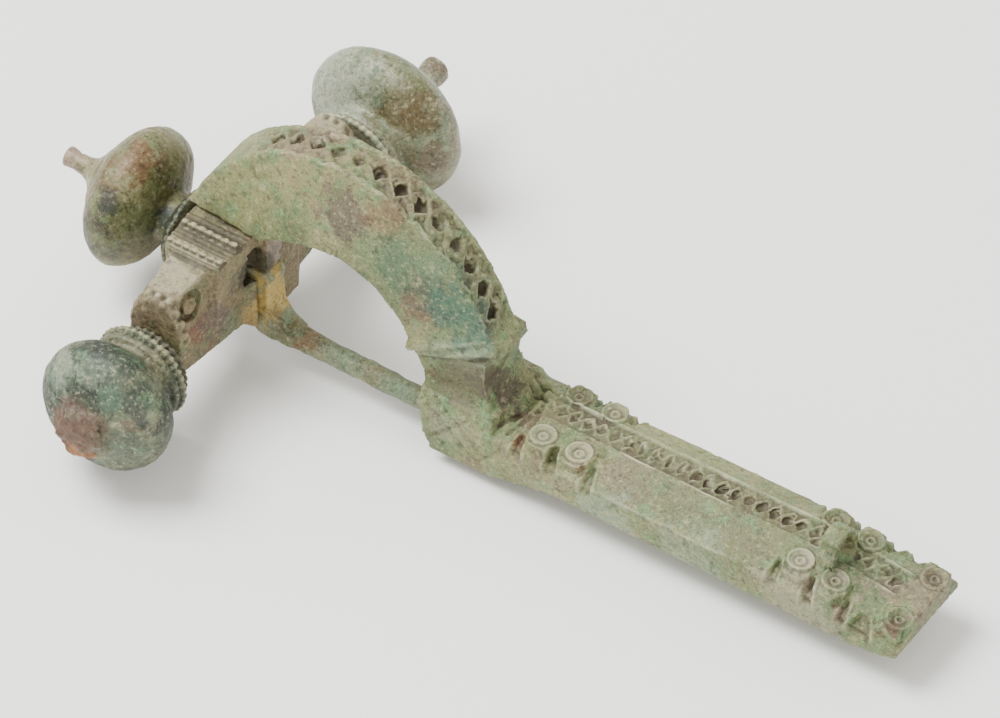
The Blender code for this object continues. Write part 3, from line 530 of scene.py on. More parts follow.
def line_distance(along, across, start, end):
    """Distance from each place to a piece of line, all measured in one plane."""
    start, end = np.array(start), np.array(end)
    run = end - start
    share = ((along - start[0]) * run[0] + (across - start[1]) * run[1]) / (run @ run)
    share = np.clip(share, 0, 1)
    return np.hypot(along - start[0] - share * run[0], across - start[1] - share * run[1])


places, normals = skin_of(casting)
x, y, z = places.T
depth = np.zeros(len(places))
side = np.abs(normals[:, 1]) > 0.7
for start, end in LIP_RIDGES:
    ridge = stroke(line_distance(x, z, start, end) + LIP_WAVER * slip, 0.50) * side
    depth += ridge * RIDGE_RISE
    raised = np.maximum(raised, ridge * (0.10 + 0.8 * slip))
for start, end in LIP_GROOVES:
    depth -= stroke(line_distance(x, z, start, end) + LIP_WAVER * slip, 0.45) * side * GROOVE_DEPTH
below_lip = LIP_START[1] + LIP_SLOPE * (x - LIP_START[0]) - z
waist = ease(below_lip, 0.0, 0.4) * ease(z, 0.1, 0.6) * side * (x > 18)
# Painted shadow: the band just under the lip, darkened later with the soil colour as if the lip shaded it.
shadow_under_lip = waist * (1 - ease(below_lip, 0.3, 1.1))
depth -= WAIST_DEPTH * waist
print("the neck's waist is", WAIST_DEPTH, "mm deep on each side")

# %% [markdown]
# Saltires are scratched into the sides of the deep block, and short nicks fan out at the start of the band.
# Along both edges of the foot a chisel cut notches that widen outwards, and pushed up a thin leaf of metal
# either side of each. A notch has a place along and across, a side that it opens to and its own width.

# %% Scratches and notches
BLOCK_SALTIRES = (
    ((21.8, -1.2), (26.8, -5.2)), ((23.6, -0.9), (28.6, -5.0)), ((21.6, -3.4), (23.8, -1.2)),
    ((21.9, -5.2), (26.0, -1.1)), ((26.9, -5.6), (29.4, -2.6)),
)
TOP_NICKS = (
    ((28.3, -3.6), (29.6, -0.6)), ((29.5, -3.4), (30.7, -0.4)), ((28.4, 1.9), (30.6, 0.9)),
    ((28.3, 2.9), (31.0, 2.2)), ((31.1, -1.9), (30.6, 0.4)),
)
NOTCHES = (
    (30.8, -3.6, -1, 0.9), (34.3, -3.8, -1, 1.1), (38.0, -3.6, -1, 0.9), (56.9, -3.6, -1, 0.8),
    (60.5, -4.0, -1, 0.9), (63.9, -3.8, -1, 0.7), (65.8, -4.2, -1, 2.2), (31.0, 4.7, 1, 1.0),
    (34.4, 4.6, 1, 1.2), (37.9, 4.6, 1, 1.0), (57.0, 4.8, 1, 1.0), (60.4, 4.8, 1, 1.2),
    (63.8, 4.7, 1, 1.2), (65.8, 4.9, 1, 1.6),
)
SALTIRE_DEPTH = 0.16
NICK_DEPTH = 0.26
NOTCH_LENGTH = 2.0
NOTCH_DEPTH = 0.36
LEAF_PLACE = 0.28
LEAF_RISE = 0.12

for start, end in BLOCK_SALTIRES:
    depth -= stroke(line_distance(x, z, start, end), 0.42) * side * SALTIRE_DEPTH
top = (normals[:, 2] > 0.5) & (z < 0.6) & (z > -2.0)
for start, end in TOP_NICKS:
    depth -= stroke(line_distance(x, y, start, end), 0.55) * top * NICK_DEPTH
upper_part = ease(z - foot_top(x), -2.6, -1.5) * (z < 0.4) * (normals[:, 2] > -0.2)
for notch_x, notch_y, way, wide in NOTCHES:
    share = (y - notch_y) * way / NOTCH_LENGTH + 0.5
    half_width = (0.12 + 0.40 * np.clip(share, 0, 1)) * wide
    reached = ease(share, 0.0, 0.35) * upper_part
    beside = np.abs(x - notch_x - 0.25 * share)
    cut = (1 - ease(beside - half_width, -0.16, 0.10)) * reached
    leaf = stroke(beside - half_width - LEAF_PLACE, 0.42) * reached * (1 - ease(share, 1.0, 1.5))
    depth += leaf * LEAF_RISE - cut * NOTCH_DEPTH
    raised = np.maximum(raised, leaf * 0.2)
print(len(BLOCK_SALTIRES) + len(TOP_NICKS), "scratches and", len(NOTCHES), "notches cut")

# %% [markdown]
# The casting's last touch is a painted highlight: a pale line on the faces of the foot's near edge that tilt up
# towards the near side. Then everything that is cut gets its share of soil, the band under the lip gets its
# painted shadow, the cuts go into the skin, and corrosion roughens them with all the rest. The two marks are
# stored on the vertices, where the patina will find them.

# %% Soil, wear, painted shadow and highlight, and corrosion on the casting
# Painted highlight: faces on the foot's near edge that tilt up towards the near side are paled as if catching
# the light.
near_rim_highlight = ease(normals[:, 2], 0.25, 0.5) * (1 - ease(normals[:, 2], 0.65, 0.9)) * (normals[:, 1] < -0.2)
near_rim_highlight *= ease(x, 33.5, 35.0) * (1 - ease(x, 55.0, 56.5))
raised = np.maximum(raised, near_rim_highlight * (0.30 + 0.9 * unsteady))
carved = np.maximum(carved, np.clip(-depth / 0.3 - waist, 0, 1) * 0.5)
# The painted shadow under the lip joins the carved mark.
carved = np.maximum(carved, shadow_under_lip * 0.5)
push(casting, depth)
corrode(casting, rough=0.8, seed=3)
# The carved mark holds soil and the painted shadow under the lip; the raised mark holds wear and the painted
# highlights on the near rim and the band's far edge.
mark(casting, "carved", np.clip(carved, 0, 1))
mark(casting, "raised", np.clip(raised, 0, 1))
print("soil covers", round(100 * float(np.mean(carved > 0.3))), "% of the casting's vertices")

# %% [markdown]
# ## The crossbar
#
# The crossbar is a bar with sloping faces. Each arm carries a volute on its face, three rings round a boss cut
# with the same punches, and thin raised lines cross its top. Volutes and lines lie equally far out on both
# arms, so one set of numbers serves the two.

# %% Recast the crossbar and cut its volutes
CROSSBAR_VOXEL = 0.15
VOLUTE_DISTANCE = 11.2
VOLUTE_HEIGHT = 5.0
VOLUTE_RINGS = ((1.85, 0.40), (1.15, 0.34), (0.5, 0.30))
VOLUTE_DEPTH = 0.045
TOP_LINES = (4.35, 6.3, 6.75, 8.3)
TOP_LINE_WIDTH = 0.26
TOP_LINE_RISE = 0.07

crossbar = copy_of("crossbar", "crossbar_casting")
recast(crossbar, CROSSBAR_VOXEL, wear=1)
places, normals = skin_of(crossbar)
x, y, z = places.T
out = np.abs(y)
faces = np.abs(normals[:, 0]) > 0.6
distance = np.hypot(out - VOLUTE_DISTANCE, z - VOLUTE_HEIGHT)
rings = sum(stroke(distance - radius, width) for radius, width in VOLUTE_RINGS)
depth = (circle(distance, radius=1.5, width=0.40, height=0.05) - VOLUTE_DEPTH * rings) * faces
top = (z > 6.6) & (normals[:, 2] > 0.3)
thin = sum(stroke(out - place, TOP_LINE_WIDTH) for place in TOP_LINES)
depth += TOP_LINE_RISE * thin * top
print(2 * len(VOLUTE_RINGS), "volute rings and", 2 * len(TOP_LINES), "lines cut")

# %% [markdown]
# Two rows of beads cross the top on each arm, either side of the bow. The solid has them, so the scene only
# finds their tops, which are worn bright, and the gaps between them, which hold soil. The ring at each arm's
# end is nicked into beads all the way round, and a cosine of the angle about the bar's axis shapes those.

# %% Bead rows and end rings
BEAD_ROWS = (5.4, 7.6)
BEAD_ROW_REACH = 0.5
END_BEAD_ROW = 13.0
END_BEAD_RISE = 0.22
END_BEADS = 46

in_row = np.any([np.abs(out - row) < BEAD_ROW_REACH for row in BEAD_ROWS], axis=0)
beads = ease(normals[:, 2], 0.55, 0.95) * in_row * (z > 7.4)
girdle = stroke(out - END_BEAD_ROW, 1.0) * (z > 0.5)
end_beads = 0.5 + 0.5 * np.cos(np.arctan2(x, z + 1.0) * END_BEADS)
depth += girdle * (end_beads * END_BEAD_RISE - 0.02)
push(crossbar, depth)
gaps = ease(0.80 - normals[:, 2], 0.0, 0.3) * in_row * (z > 7.2) + girdle * (1 - end_beads) * 0.8
print("bead rows stand", BEAD_ROWS, "and", END_BEAD_ROW, "mm from the middle")

# %% [markdown]
# The front of the crossbar is eaten away round the pin's hinge. The corrosion there is deeper and rougher than
# elsewhere, and a hollow gapes above the pin, which is painted dark as shade. Soil lies between the beads, in
# the volutes and on the flat top between the lines.

# %% Corrode the crossbar
HOLLOW_PLACE = (-3.4, 3.6)
HOLLOW_RADIUS = 1.6
EATEN_PLACE = (-2.6, 2.2)
EATEN_ROUGHNESS = 0.16
EATEN_DEPTH = 0.1
SOILED_TOP = (4, 8.8)

# Painted shade: the hollow above the pin joins the carved mark, so the soil colour darkens it as if in shadow.
hollow_shade = 1 - ease(np.hypot(y - HOLLOW_PLACE[0], z - HOLLOW_PLACE[1]) - HOLLOW_RADIUS, 0.0, 0.8)
eaten = (1 - ease(np.hypot(y - EATEN_PLACE[0], z - EATEN_PLACE[1]), 2.6, 5.0)) * (x > 1.2)
places, normals = skin_of(crossbar)
lumps = clouds(places, size=1.3, octaves=3, seed=11)
push(crossbar, lumps * EATEN_ROUGHNESS * eaten - EATEN_DEPTH * eaten)
corrode(crossbar, rough=0.8, seed=8)
soil_and_hollow_shade = np.maximum(gaps, np.maximum(rings * faces * 0.10, hollow_shade * (x > 1.0)))
flat_top = top * (out > SOILED_TOP[0]) * (out < SOILED_TOP[1])
soil_and_hollow_shade += (1 - 0.5 * thin) * flat_top * (1 - beads) * 0.9
mark(crossbar, "carved", np.clip(soil_and_hollow_shade, 0, 1))
mark(crossbar, "raised", np.clip(beads * 0.55 + girdle * end_beads * 0.35, 0, 1))
print("the hinge's surroundings are eaten", EATEN_DEPTH, "mm deep")

# %% [markdown]
# ## The knobs
#
# Onion knobs were cast, then finished on a lathe. The same can be done here: a round face is extruded along
# the axis again and again, and scaled at each step to follow the onion's outline. A ring of beads goes round
# the collar. One bead is modelled, and the spin tool repeats it about the axis. A recast then fuses the lot.

# %% Turn a knob
ROUND = 64


def onion(radius, length, stem, first, steps=18):
    """Radius and distance along the axis, from the finial's foot over the belly to the stem."""
    start = math.asin(first / radius)
    end = math.pi - math.asin(stem / radius)
    angles = [start + (end - start) * i / steps for i in range(steps + 1)]
    return [(radius * math.sin(a), length / 2 * math.cos(a)) for a in angles]


def turn_knob(name, middle, axis, stations):
    """Extrudes a round face through stations of radius and distance along an axis."""
    turned = axis.to_track_quat("Z", "Y").to_euler()
    first_radius, first_place = stations[0]
    work_on()
    bpy.ops.mesh.primitive_circle_add(
        vertices=ROUND, radius=first_radius * MM, fill_type="NGON",
        location=middle + axis * first_place * MM, rotation=turned,
    )
    knob = bpy.context.object
    knob.name = name
    knob.data.name = name
    bpy.ops.object.mode_set(mode="EDIT")
    for (radius, place), (next_radius, next_place) in zip(stations, stations[1:]):
        step = axis * (next_place - place) * MM
        bpy.ops.mesh.extrude_region_move(TRANSFORM_OT_translate={"value": step})
        share = next_radius / radius
        bpy.ops.transform.resize(value=(share, share, share))
    bpy.ops.mesh.select_all(action="SELECT")
    bpy.ops.mesh.normals_make_consistent(inside=False)
    bpy.ops.object.mode_set(mode="OBJECT")
    bpy.ops.object.transform_apply(location=True, rotation=True, scale=True)
    return knob


def bead_collar(knob, middle, axis, place, radius, bead, count):
    """Rings a knob with beads: one is modelled and the spin tool repeats it."""
    across = axis.to_track_quat("Z", "Y") @ Vector((1, 0, 0))
    work_on()
    bpy.ops.mesh.primitive_ico_sphere_add(
        subdivisions=2, radius=bead * MM, location=middle + (axis * place + across * radius) * MM,
    )
    beads = bpy.context.object
    bpy.ops.object.mode_set(mode="EDIT")
    bpy.ops.mesh.select_all(action="SELECT")
    bpy.ops.mesh.spin(
        steps=count, dupli=True, angle=math.tau, use_auto_merge=False,
        center=middle + axis * place * MM, axis=axis,
    )
    bpy.ops.object.mode_set(mode="OBJECT")
    bpy.ops.object.transform_apply(location=True, rotation=True, scale=True)
    work_on(knob, beads)
    bpy.ops.object.join()


# %% [markdown]
# The near knob has lost its finial and ends in a rust-red stump. The far one is larger and keeps a thick
# finial, and the head knob leans a little and has a thin one. Their sizes are read from the solids that they
# replace, and only the lathe's profile is new.

# %% Make the three knobs
near_low, near_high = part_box("right_knob")
far_low, far_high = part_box("left_knob")
head_low, head_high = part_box("head_knob")
NEAR_RADIUS = (near_high.z - near_low.z) / 2 / MM
FAR_RADIUS = (far_high.z - far_low.z) / 2 / MM
HEAD_RADIUS = (head_high.y - head_low.y) / 2 / MM
KNOB_VOXEL = 0.16
HEAD_VOXEL = 0.17
NEAR_LENGTH = 8.0
FAR_LENGTH = 7.4
HEAD_LENGTH = 7.4
NEAR_BELLY = 20.9
FAR_BELLY = 21.3
HEAD_BELLY = at(-11.6, 0, 1.7)
HEAD_TILT = math.radians(6.0)
ARM_END = 14.1
SIDE_STEM = 3.9
SIDE_COLLAR = 4.45
HEAD_STEM = 2.4
HEAD_COLLAR = 3.75


def side_knob(name, side, radius, length, belly, tip):
    """A knob on the end of the crossbar, with a disc and two rows of beads against the arm."""
    axis = Vector((0, side, 0))
    middle = at(0, side * belly, 0)
    reach = belly - ARM_END
    stem = [
        (SIDE_STEM, 3.1 - reach), (SIDE_COLLAR, 2.9 - reach), (SIDE_COLLAR, 2.4 - reach),
        (SIDE_STEM * 1.03, 2.2 - reach), (SIDE_STEM * 1.03, 1.3 - reach), (SIDE_STEM * 0.88, 1.0 - reach),
        (SIDE_STEM * 0.88, 0.2 - reach), (SIDE_STEM * 0.82, -reach),
    ]
    knob = turn_knob(name, middle, axis, tip + onion(radius, length, SIDE_STEM, tip[-1][0] * 1.2) + stem)
    bead_collar(knob, middle, axis, place=1.75 - reach, radius=SIDE_COLLAR - 0.1, bead=0.36, count=40)
    bead_collar(knob, middle, axis, place=0.55 - reach, radius=SIDE_STEM * 0.93, bead=0.32, count=30)
    recast(knob, KNOB_VOXEL)
    return knob


near_tip = [(1.2, 5.0), (2.3, 4.75), (2.75, 4.2), (2.85, 3.7)]
far_tip = [(1.0, 8.2), (1.3, 8.1), (1.3, 7.3), (1.1, 6.2), (1.35, 5.0), (2.1, 4.15)]
near_knob = side_knob("near_knob", -1, NEAR_RADIUS, NEAR_LENGTH, NEAR_BELLY, near_tip)
far_knob = side_knob("far_knob", 1, FAR_RADIUS, FAR_LENGTH, FAR_BELLY, far_tip)

head_axis = Vector((-math.cos(HEAD_TILT), 0, math.sin(HEAD_TILT)))
head_tip = [(0.8, 7.7), (1.0, 7.6), (0.88, 6.6), (0.92, 5.6), (1.2, 4.8), (2.0, 4.15), (3.1, 3.55)]
head_stem = [
    (HEAD_STEM, -4.6), (HEAD_COLLAR * 0.95, -4.9), (HEAD_COLLAR, -5.4), (HEAD_COLLAR * 0.95, -6.0),
    (HEAD_STEM, -6.3), (HEAD_STEM * 0.95, -7.8),
]
head_profile = head_tip + onion(HEAD_RADIUS, HEAD_LENGTH, HEAD_STEM, first=4.0) + head_stem
head_knob = turn_knob("head_onion", HEAD_BELLY, head_axis, head_profile)
bead_collar(head_knob, HEAD_BELLY, head_axis, place=-5.45, radius=HEAD_COLLAR + 0.05, bead=0.32, count=34)
recast(head_knob, HEAD_VOXEL)

# %% [markdown]
# A lathe leaves a true round, and the ground takes it away again. The knobs get wide shallow dents as well as
# crust and pits, and the broken stump is the roughest place on the brooch. The collars' hollows are marked,
# because dark soil stayed in them, and the beads' tops are marked as worn.

# %% Corrode the knobs
DENT_SIZE = 5.0
DENT_DEPTH = 0.12
BEAD_TOP = 0.12
BEAD_FOOT = 0.5
BEAD_SHINE = 0.45
STUMP_START = 24.2
STUMP_ROUGHNESS = 0.42
STUMP_LOSS = 0.12


def weather_knob(knob, belly, axis, collar, rough, seed):
    """Dents and corrodes a knob, and marks its collar's hollows and the tops of its beads."""
    places, normals = skin_of(knob)
    push(knob, clouds(places, DENT_SIZE, octaves=2, seed=seed) * DENT_DEPTH)
    corrode(knob, rough, seed)
    from_belly = places - (np.array(belly) - np.array(MIDDLE)) / MM
    along = from_belly @ np.array(axis)
    ringed = (along > collar[0]) & (along < collar[1])
    radius = np.linalg.norm(from_belly - along[:, None] * np.array(axis), axis=1)
    rim = np.percentile(radius[ringed], 96)
    mark(knob, "carved", np.clip(ringed * (1 - ease(radius, rim - BEAD_FOOT, rim - BEAD_TOP)), 0, 1))
    mark(knob, "raised", np.clip(ringed * ease(radius, rim - BEAD_TOP, rim) * BEAD_SHINE, 0, 1))


places, normals = skin_of(near_knob)
broken = ease(-places[:, 1], STUMP_START, STUMP_START + 0.6)
lumps = clouds(places, size=1.6, octaves=4, seed=21)
push(near_knob, (lumps * STUMP_ROUGHNESS - STUMP_LOSS) * broken)
weather_knob(near_knob, at(0, -NEAR_BELLY, 0), (0, -1, 0), collar=(-7.0, -4.6), rough=1.2, seed=14)
weather_knob(far_knob, at(0, FAR_BELLY, 0), (0, 1, 0), collar=(-7.4, -5.0), rough=0.8, seed=15)
weather_knob(head_knob, HEAD_BELLY, tuple(head_axis), collar=(-6.3, -4.6), rough=0.8, seed=16)
print("knobs:", [round(value, 2) for value in (NEAR_RADIUS, FAR_RADIUS, HEAD_RADIUS)], "mm in radius")

# %% [markdown]
# ## The pin
#
# The pin is a copper-alloy rod that hangs on a plate in the crossbar's slot. Ochre corrosion has swollen over
# its root, and the rod itself is grey-green and thinner where the ground ate it.

# %% Recast and corrode the pin
PIN_VOXEL = 0.13
SLOT_MOUTH = 3.3
OCHRE_ROUGHNESS = 0.10
OCHRE_SWELLING = 0.05

pin = copy_of("pin", "hinged_pin")
recast(pin, PIN_VOXEL)
places, normals = skin_of(pin)
outside = ease(places[:, 0], SLOT_MOUTH, SLOT_MOUTH + 0.6)
lumps = clouds(places, size=1.6, octaves=2, seed=31)
push(pin, lumps * OCHRE_ROUGHNESS * outside + OCHRE_SWELLING * outside)
corrode(pin, rough=0.6, seed=31)
mark(pin, "carved", np.zeros(len(places)))
mark(pin, "raised", np.zeros(len(places)))
print("the pin swells by", OCHRE_SWELLING, "mm outside its slot")

# %% [markdown]
# ## Patina
#
# Buried copper alloy turns into layers: a brown skin of copper oxide on the metal, green malachite over it, and
# pale chlorides, clay and rust on top. None of it shines much. The shader paints those layers in the order in
# which they grew, and every layer is one small function: a colour laid where a noise value is high or low. A
# stain is such a layer too, laid round a real place.

# %% Tools for the patina
STAIN_RAGGEDNESS = 3.4
STAIN_EDGE = 0.95
STAIN_CORE = 0.45


def node(tree, kind, settings, inputs):
    """Adds a node with its settings, input values and links."""
    made = tree.nodes.new(kind)
    for name, value in settings.items():
        setattr(made, name, value)
    for key, value in inputs.items():
        if isinstance(value, bpy.types.NodeSocket):
            tree.links.new(value, made.inputs[key])
        else:
            made.inputs[key].default_value = value
    return made


def fill_ramp(ramp, stops):
    """Gives a colour ramp its stops of place and hex colour."""
    elements = ramp.color_ramp.elements
    while len(elements) < len(stops):
        elements.new(0.5)
    for element, (place, code) in zip(elements, stops):
        element.position = place
        element.color = linear(code)


def layer(tree, colour, source, low, high, strength, code, blend="MIX"):
    """Lays a colour over another where a value goes from low to high, which may be the lower number."""
    share = node(tree, "ShaderNodeMapRange", {"interpolation_type": "SMOOTHSTEP"},
                 {0: source, 1: low, 2: high, 3: 0.0, 4: strength})
    return node(tree, "ShaderNodeMix", {"data_type": "RGBA", "blend_type": blend},
                {0: share.outputs[0], 6: colour, 7: linear(code)}).outputs[2]


def stain(tree, colour, place, ragged, centre, radius, code, strength, raggedness=STAIN_RAGGEDNESS):
    """Lays one stain over a colour: a soft ball round a place, with its edge torn by noise."""
    far = node(tree, "ShaderNodeVectorMath", {"operation": "DISTANCE"}, {0: place, 1: at(*centre)})
    edge = node(tree, "ShaderNodeMath", {"operation": "MULTIPLY_ADD"},
                {0: ragged, 1: -raggedness * radius * MM, 2: far.outputs["Value"]})
    return layer(tree, colour, edge.outputs[0], (STAIN_EDGE - raggedness / 2) * radius * MM,
                 (STAIN_CORE - raggedness / 2) * radius * MM, strength, code)


# %% [markdown]
# Blotches about seven millimetres wide choose between the mineral tones, and patches of brown and green crust
# two millimetres wide lie over them. Millimetre mottling breaks these up, and pale grains under half a
# millimetre sit on top. Most stains lie under the grains. A stain with a raggedness of its own, its fifth
# value, came last and lies over them. Soil and painted shade darken what was carved and every crease, wear and
# painted highlights pale what stands out and every edge, and two fine bumps give the dry grain.

# %% The patina shader
NOISES = ((7.0, 6.0), (2.2, 8.0), (1.0, 6.0), (0.4, 5.0), (0.2, 3.0))
NOISE_ROUGHNESS = 0.68
METAL_SHARE = 0.12
MOTTLE_SHADE = "#787058"
PIT_SHADE = "#77704F"
DUST_SHADE = "#6E6A50"
CRUST_HEIGHT = 0.14
SAND_HEIGHT = 0.06


def patina(name, tones, crusts, grain, stains, soil="#2E2A1F", wear_and_highlight_colour="#B9B695", roughness=0.62):
    """Layers of copper minerals over a cast surface, with painted shade in its creases and painted highlights
    on its edges.
    """
    made = bpy.data.materials.new(name)
    made.use_nodes = True
    tree = made.node_tree
    shader = tree.nodes["Principled BSDF"]
    place = node(tree, "ShaderNodeTexCoord", {}, {}).outputs["Object"]
    noises = [
        node(tree, "ShaderNodeTexNoise", {}, {"Vector": place, "Scale": 1 / (size * MM), "Detail": detail,
                                              "Roughness": NOISE_ROUGHNESS}).outputs[0]
        for size, detail in NOISES
    ]
    blotch, ragged, small, fine, dust = noises
    ramp = node(tree, "ShaderNodeValToRGB", {}, {0: blotch})
    fill_ramp(ramp, tones)
    brown, green = crusts
    colour = layer(tree, ramp.outputs[0], ragged, 0.53, 0.62, 0.60, brown)
    colour = layer(tree, colour, ragged, 0.47, 0.38, 0.60, green)
    buried = [spot for spot in stains if len(spot) == 4]
    late = [spot for spot in stains if len(spot) == 5]
    for spot in buried:
        colour = stain(tree, colour, place, ragged, *spot)
    colour = layer(tree, colour, small, 0.47, 0.35, 0.55, MOTTLE_SHADE, "MULTIPLY")
    colour = layer(tree, colour, small, 0.55, 0.68, 0.40, grain)
    colour = layer(tree, colour, fine, 0.54, 0.68, 0.50, grain)
    for spot in late:
        colour = stain(tree, colour, place, ragged, *spot)
    colour = layer(tree, colour, fine, 0.48, 0.34, 0.40, PIT_SHADE, "MULTIPLY")
    colour = layer(tree, colour, dust, 0.50, 0.36, 0.30, DUST_SHADE, "MULTIPLY")
    bend = node(tree, "ShaderNodeNewGeometry", {}, {}).outputs["Pointiness"]
    # Painted shade: pointiness finds concave places, and sunk darkens them with the soil colour as creases
    # would be shaded.
    sunk = node(tree, "ShaderNodeMapRange", {}, {0: bend, 1: 0.40, 2: 0.49, 3: 0.75, 4: 0.0})
    # Painted highlight: pointiness finds convex edges, and stands pales them with the pale wear colour, which
    # also stands for their wear.
    stands = node(tree, "ShaderNodeMapRange", {}, {0: bend, 1: 0.505, 2: 0.58, 3: 0.0, 4: 0.35})
    # The carved mark holds soil, and painted shade under the bow's lip and in the hollow above the pin. The
    # raised mark holds wear, and painted highlights on the foot's near rim and the band's far edge.
    carved = node(tree, "ShaderNodeAttribute", {"attribute_name": "carved"}, {}).outputs["Fac"]
    raised = node(tree, "ShaderNodeAttribute", {"attribute_name": "raised"}, {}).outputs["Fac"]
    soil_and_shade = node(tree, "ShaderNodeMath", {"operation": "MULTIPLY_ADD"},
                {0: carved, 1: 0.8, 2: sunk.outputs[0]})
    colour = layer(tree, colour, soil_and_shade.outputs[0], 0.0, 1.0, 0.85, soil)
    pale = node(tree, "ShaderNodeMath", {"operation": "MULTIPLY_ADD"},
                {0: raised, 1: 0.9, 2: stands.outputs[0]})
    colour = layer(tree, colour, pale.outputs[0], 0.0, 1.0, 0.75, wear_and_highlight_colour)
    tree.links.new(colour, shader.inputs["Base Color"])
    dry = node(tree, "ShaderNodeMapRange", {},
               {0: small, 1: 0.3, 2: 0.7, 3: roughness - 0.12, 4: roughness + 0.16})
    tree.links.new(dry.outputs[0], shader.inputs["Roughness"])
    shader.inputs["Metallic"].default_value = METAL_SHARE
    crust = node(tree, "ShaderNodeBump", {}, {"Strength": 0.7, "Distance": CRUST_HEIGHT * MM, "Height": small})
    sand = node(tree, "ShaderNodeBump", {}, {"Strength": 0.7, "Distance": SAND_HEIGHT * MM, "Height": fine,
                                             "Normal": crust.outputs[0]})
    tree.links.new(sand.outputs[0], shader.inputs["Normal"])
    print(name, "has", len(tree.nodes), "nodes")
    return made


# %% [markdown]
# ## Colours of each piece
#
# The tones are the minerals seen on each piece: malachite greens, grey-olive soil films, cream chlorides, and
# brown and red oxides. A stain gives its place from the crossbar's middle, a radius in millimetres, a colour
# and a strength from 0 to 1, and a late one its raggedness too.

# %% Colour the bow and foot
FOOT_TONES = ((0.34, "#536441"), (0.46, "#6B754D"), (0.55, "#7A7D54"), (0.66, "#8D8862"))
FOOT_CRUSTS = ("#6F5E48", "#66865A")
FOOT_STAINS = (
    ((17.5, -3.0, 11.5), 7.5, "#66704C", 0.65), ((25.2, -3.2, 5.0), 3.2, "#667056", 0.6),
    ((7.3, -2.1, 17.0), 5.0, "#989062", 0.55), ((1.6, -3.0, 12.1), 5.0, "#808150", 0.6),
    ((12.1, -2.9, 14.8), 3.4, "#63554A", 0.75), ((16.0, -2.5, 16.0), 2.2, "#7F5C40", 0.5),
    ((17.3, -2.9, 12.2), 3.6, "#49694B", 0.65), ((21.0, -2.6, 11.0), 2.4, "#46483D", 0.8),
    ((20.2, -3.1, 7.6), 2.2, "#69503D", 0.75), ((23.8, -2.4, 8.9), 3.8, "#365F4C", 0.8),
    ((21.0, -3.0, 13.2), 2.6, "#5F7D58", 0.6), ((22.5, -3.3, 5.0), 2.2, "#6E8268", 0.4),
    ((25.6, -3.2, 5.6), 2.0, "#648068", 0.5), ((24.4, -3.2, 1.6), 3.3, "#605944", 0.65, 1.6),
    ((27.0, -3.0, 2.9), 2.8, "#50463A", 0.7, 1.8),
    ((27.6, -0.6, 0.8), 3.2, "#4E4236", 0.8), ((30.9, -3.6, -1.5), 0.8, "#6E4026", 0.7),
    ((38.0, -3.7, -1.0), 1.0, "#6E4026", 0.7), ((60.5, -4.0, -1.2), 0.8, "#6E4026", 0.7),
    ((63.6, -4.6, -2.4), 1.0, "#6E4026", 0.7), ((44.0, 4.0, -1.5), 7.0, "#868C5E", 0.6),
    ((41.2, -2.4, -0.7), 3.8, "#71654C", 0.7), ((46.5, -2.2, -0.4), 4.8, "#686B49", 0.7),
    ((53.5, -2.2, -0.6), 4.4, "#6E6C4A", 0.65),
    ((69.0, 1.0, -2.0), 4.0, "#7D705B", 0.7), ((68.6, -3.8, -2.0), 1.6, "#5C4131", 0.8),
    ((40.0, -5.4, -4.2), 3.8, "#8DA086", 0.55), ((49.0, -5.4, -4.6), 4.4, "#8A9C80", 0.5),
    ((60.0, -5.0, -3.4), 5.0, "#96927A", 0.6),
    ((6.7, 0.2, 18.6), 4.0, "#826A58", 0.5), ((16.1, 0.1, 17.6), 3.6, "#6F5C42", 0.5),
    ((30.2, -1.6, -0.5), 1.7, "#5D4A3A", 0.6), ((24.0, -4.6, -2.6), 3.0, "#86886A", 0.6),
)
foot_patina = patina(
    "malachite and clay on cast bronze", FOOT_TONES, FOOT_CRUSTS, "#ACAB7D", FOOT_STAINS, soil="#43362A",
)

# %% [markdown]
# The crossbar kept more soil than the foot, so brown tones lead. Cream clay clings to its outer arms, ochre
# spreads round the hinge, and the hollow above the pin is painted nearly black as shade.

# %% Colour the crossbar
BAR_TONES = ((0.34, "#66563F"), (0.46, "#74664B"), (0.56, "#7D7352"), (0.66, "#6E724E"))
BAR_CRUSTS = ("#6E5347", "#5F6B4A")
BAR_STAINS = (
    ((-0.6, -10.8, 7.1), 3.8, "#A0997E", 0.8), ((-0.6, 10.8, 7.1), 3.8, "#A39B80", 0.75),
    ((2.3, -10.4, 1.6), 2.0, "#6F4433", 0.75), ((2.4, -8.3, 1.2), 2.4, "#5F4E49", 0.7),
    ((3.4, -2.7, -1.6), 2.3, "#A98F50", 0.95), ((3.2, -3.6, -3.0), 1.6, "#92794A", 0.8),
    # The near-black stain at (2.4, -3.6, 4.0) is painted shade in the hollow above the pin.
    ((4.0, -0.9, 4.6), 2.0, "#84766A", 0.85), ((2.4, -3.6, 4.0), 1.7, "#24261E", 0.9),
    ((2.6, -5.2, 4.4), 1.6, "#4E5240", 0.6), ((2.4, -6.4, -1.0), 2.2, "#66735B", 0.6),
    ((1.7, -11.2, 5.0), 2.2, "#7C694A", 0.6), ((0.6, -13.4, 5.0), 2.4, "#6E614A", 0.8),
    ((0.0, -5.6, 8.0), 3.4, "#5C5A42", 0.85), ((0.0, 5.6, 8.0), 3.4, "#5C5A42", 0.85),
)
bar_patina = patina(
    "soil film on cast bronze", BAR_TONES, BAR_CRUSTS, "#A69D74", BAR_STAINS, soil="#332A1E", wear_and_highlight_colour="#B9B28C",
)

# %% [markdown]
# Each knob came through the ground in its own way. The near one is almost black under pale grains and ends in
# a rust-red stump, the far one is pale, and the head knob is olive with brown streaks.

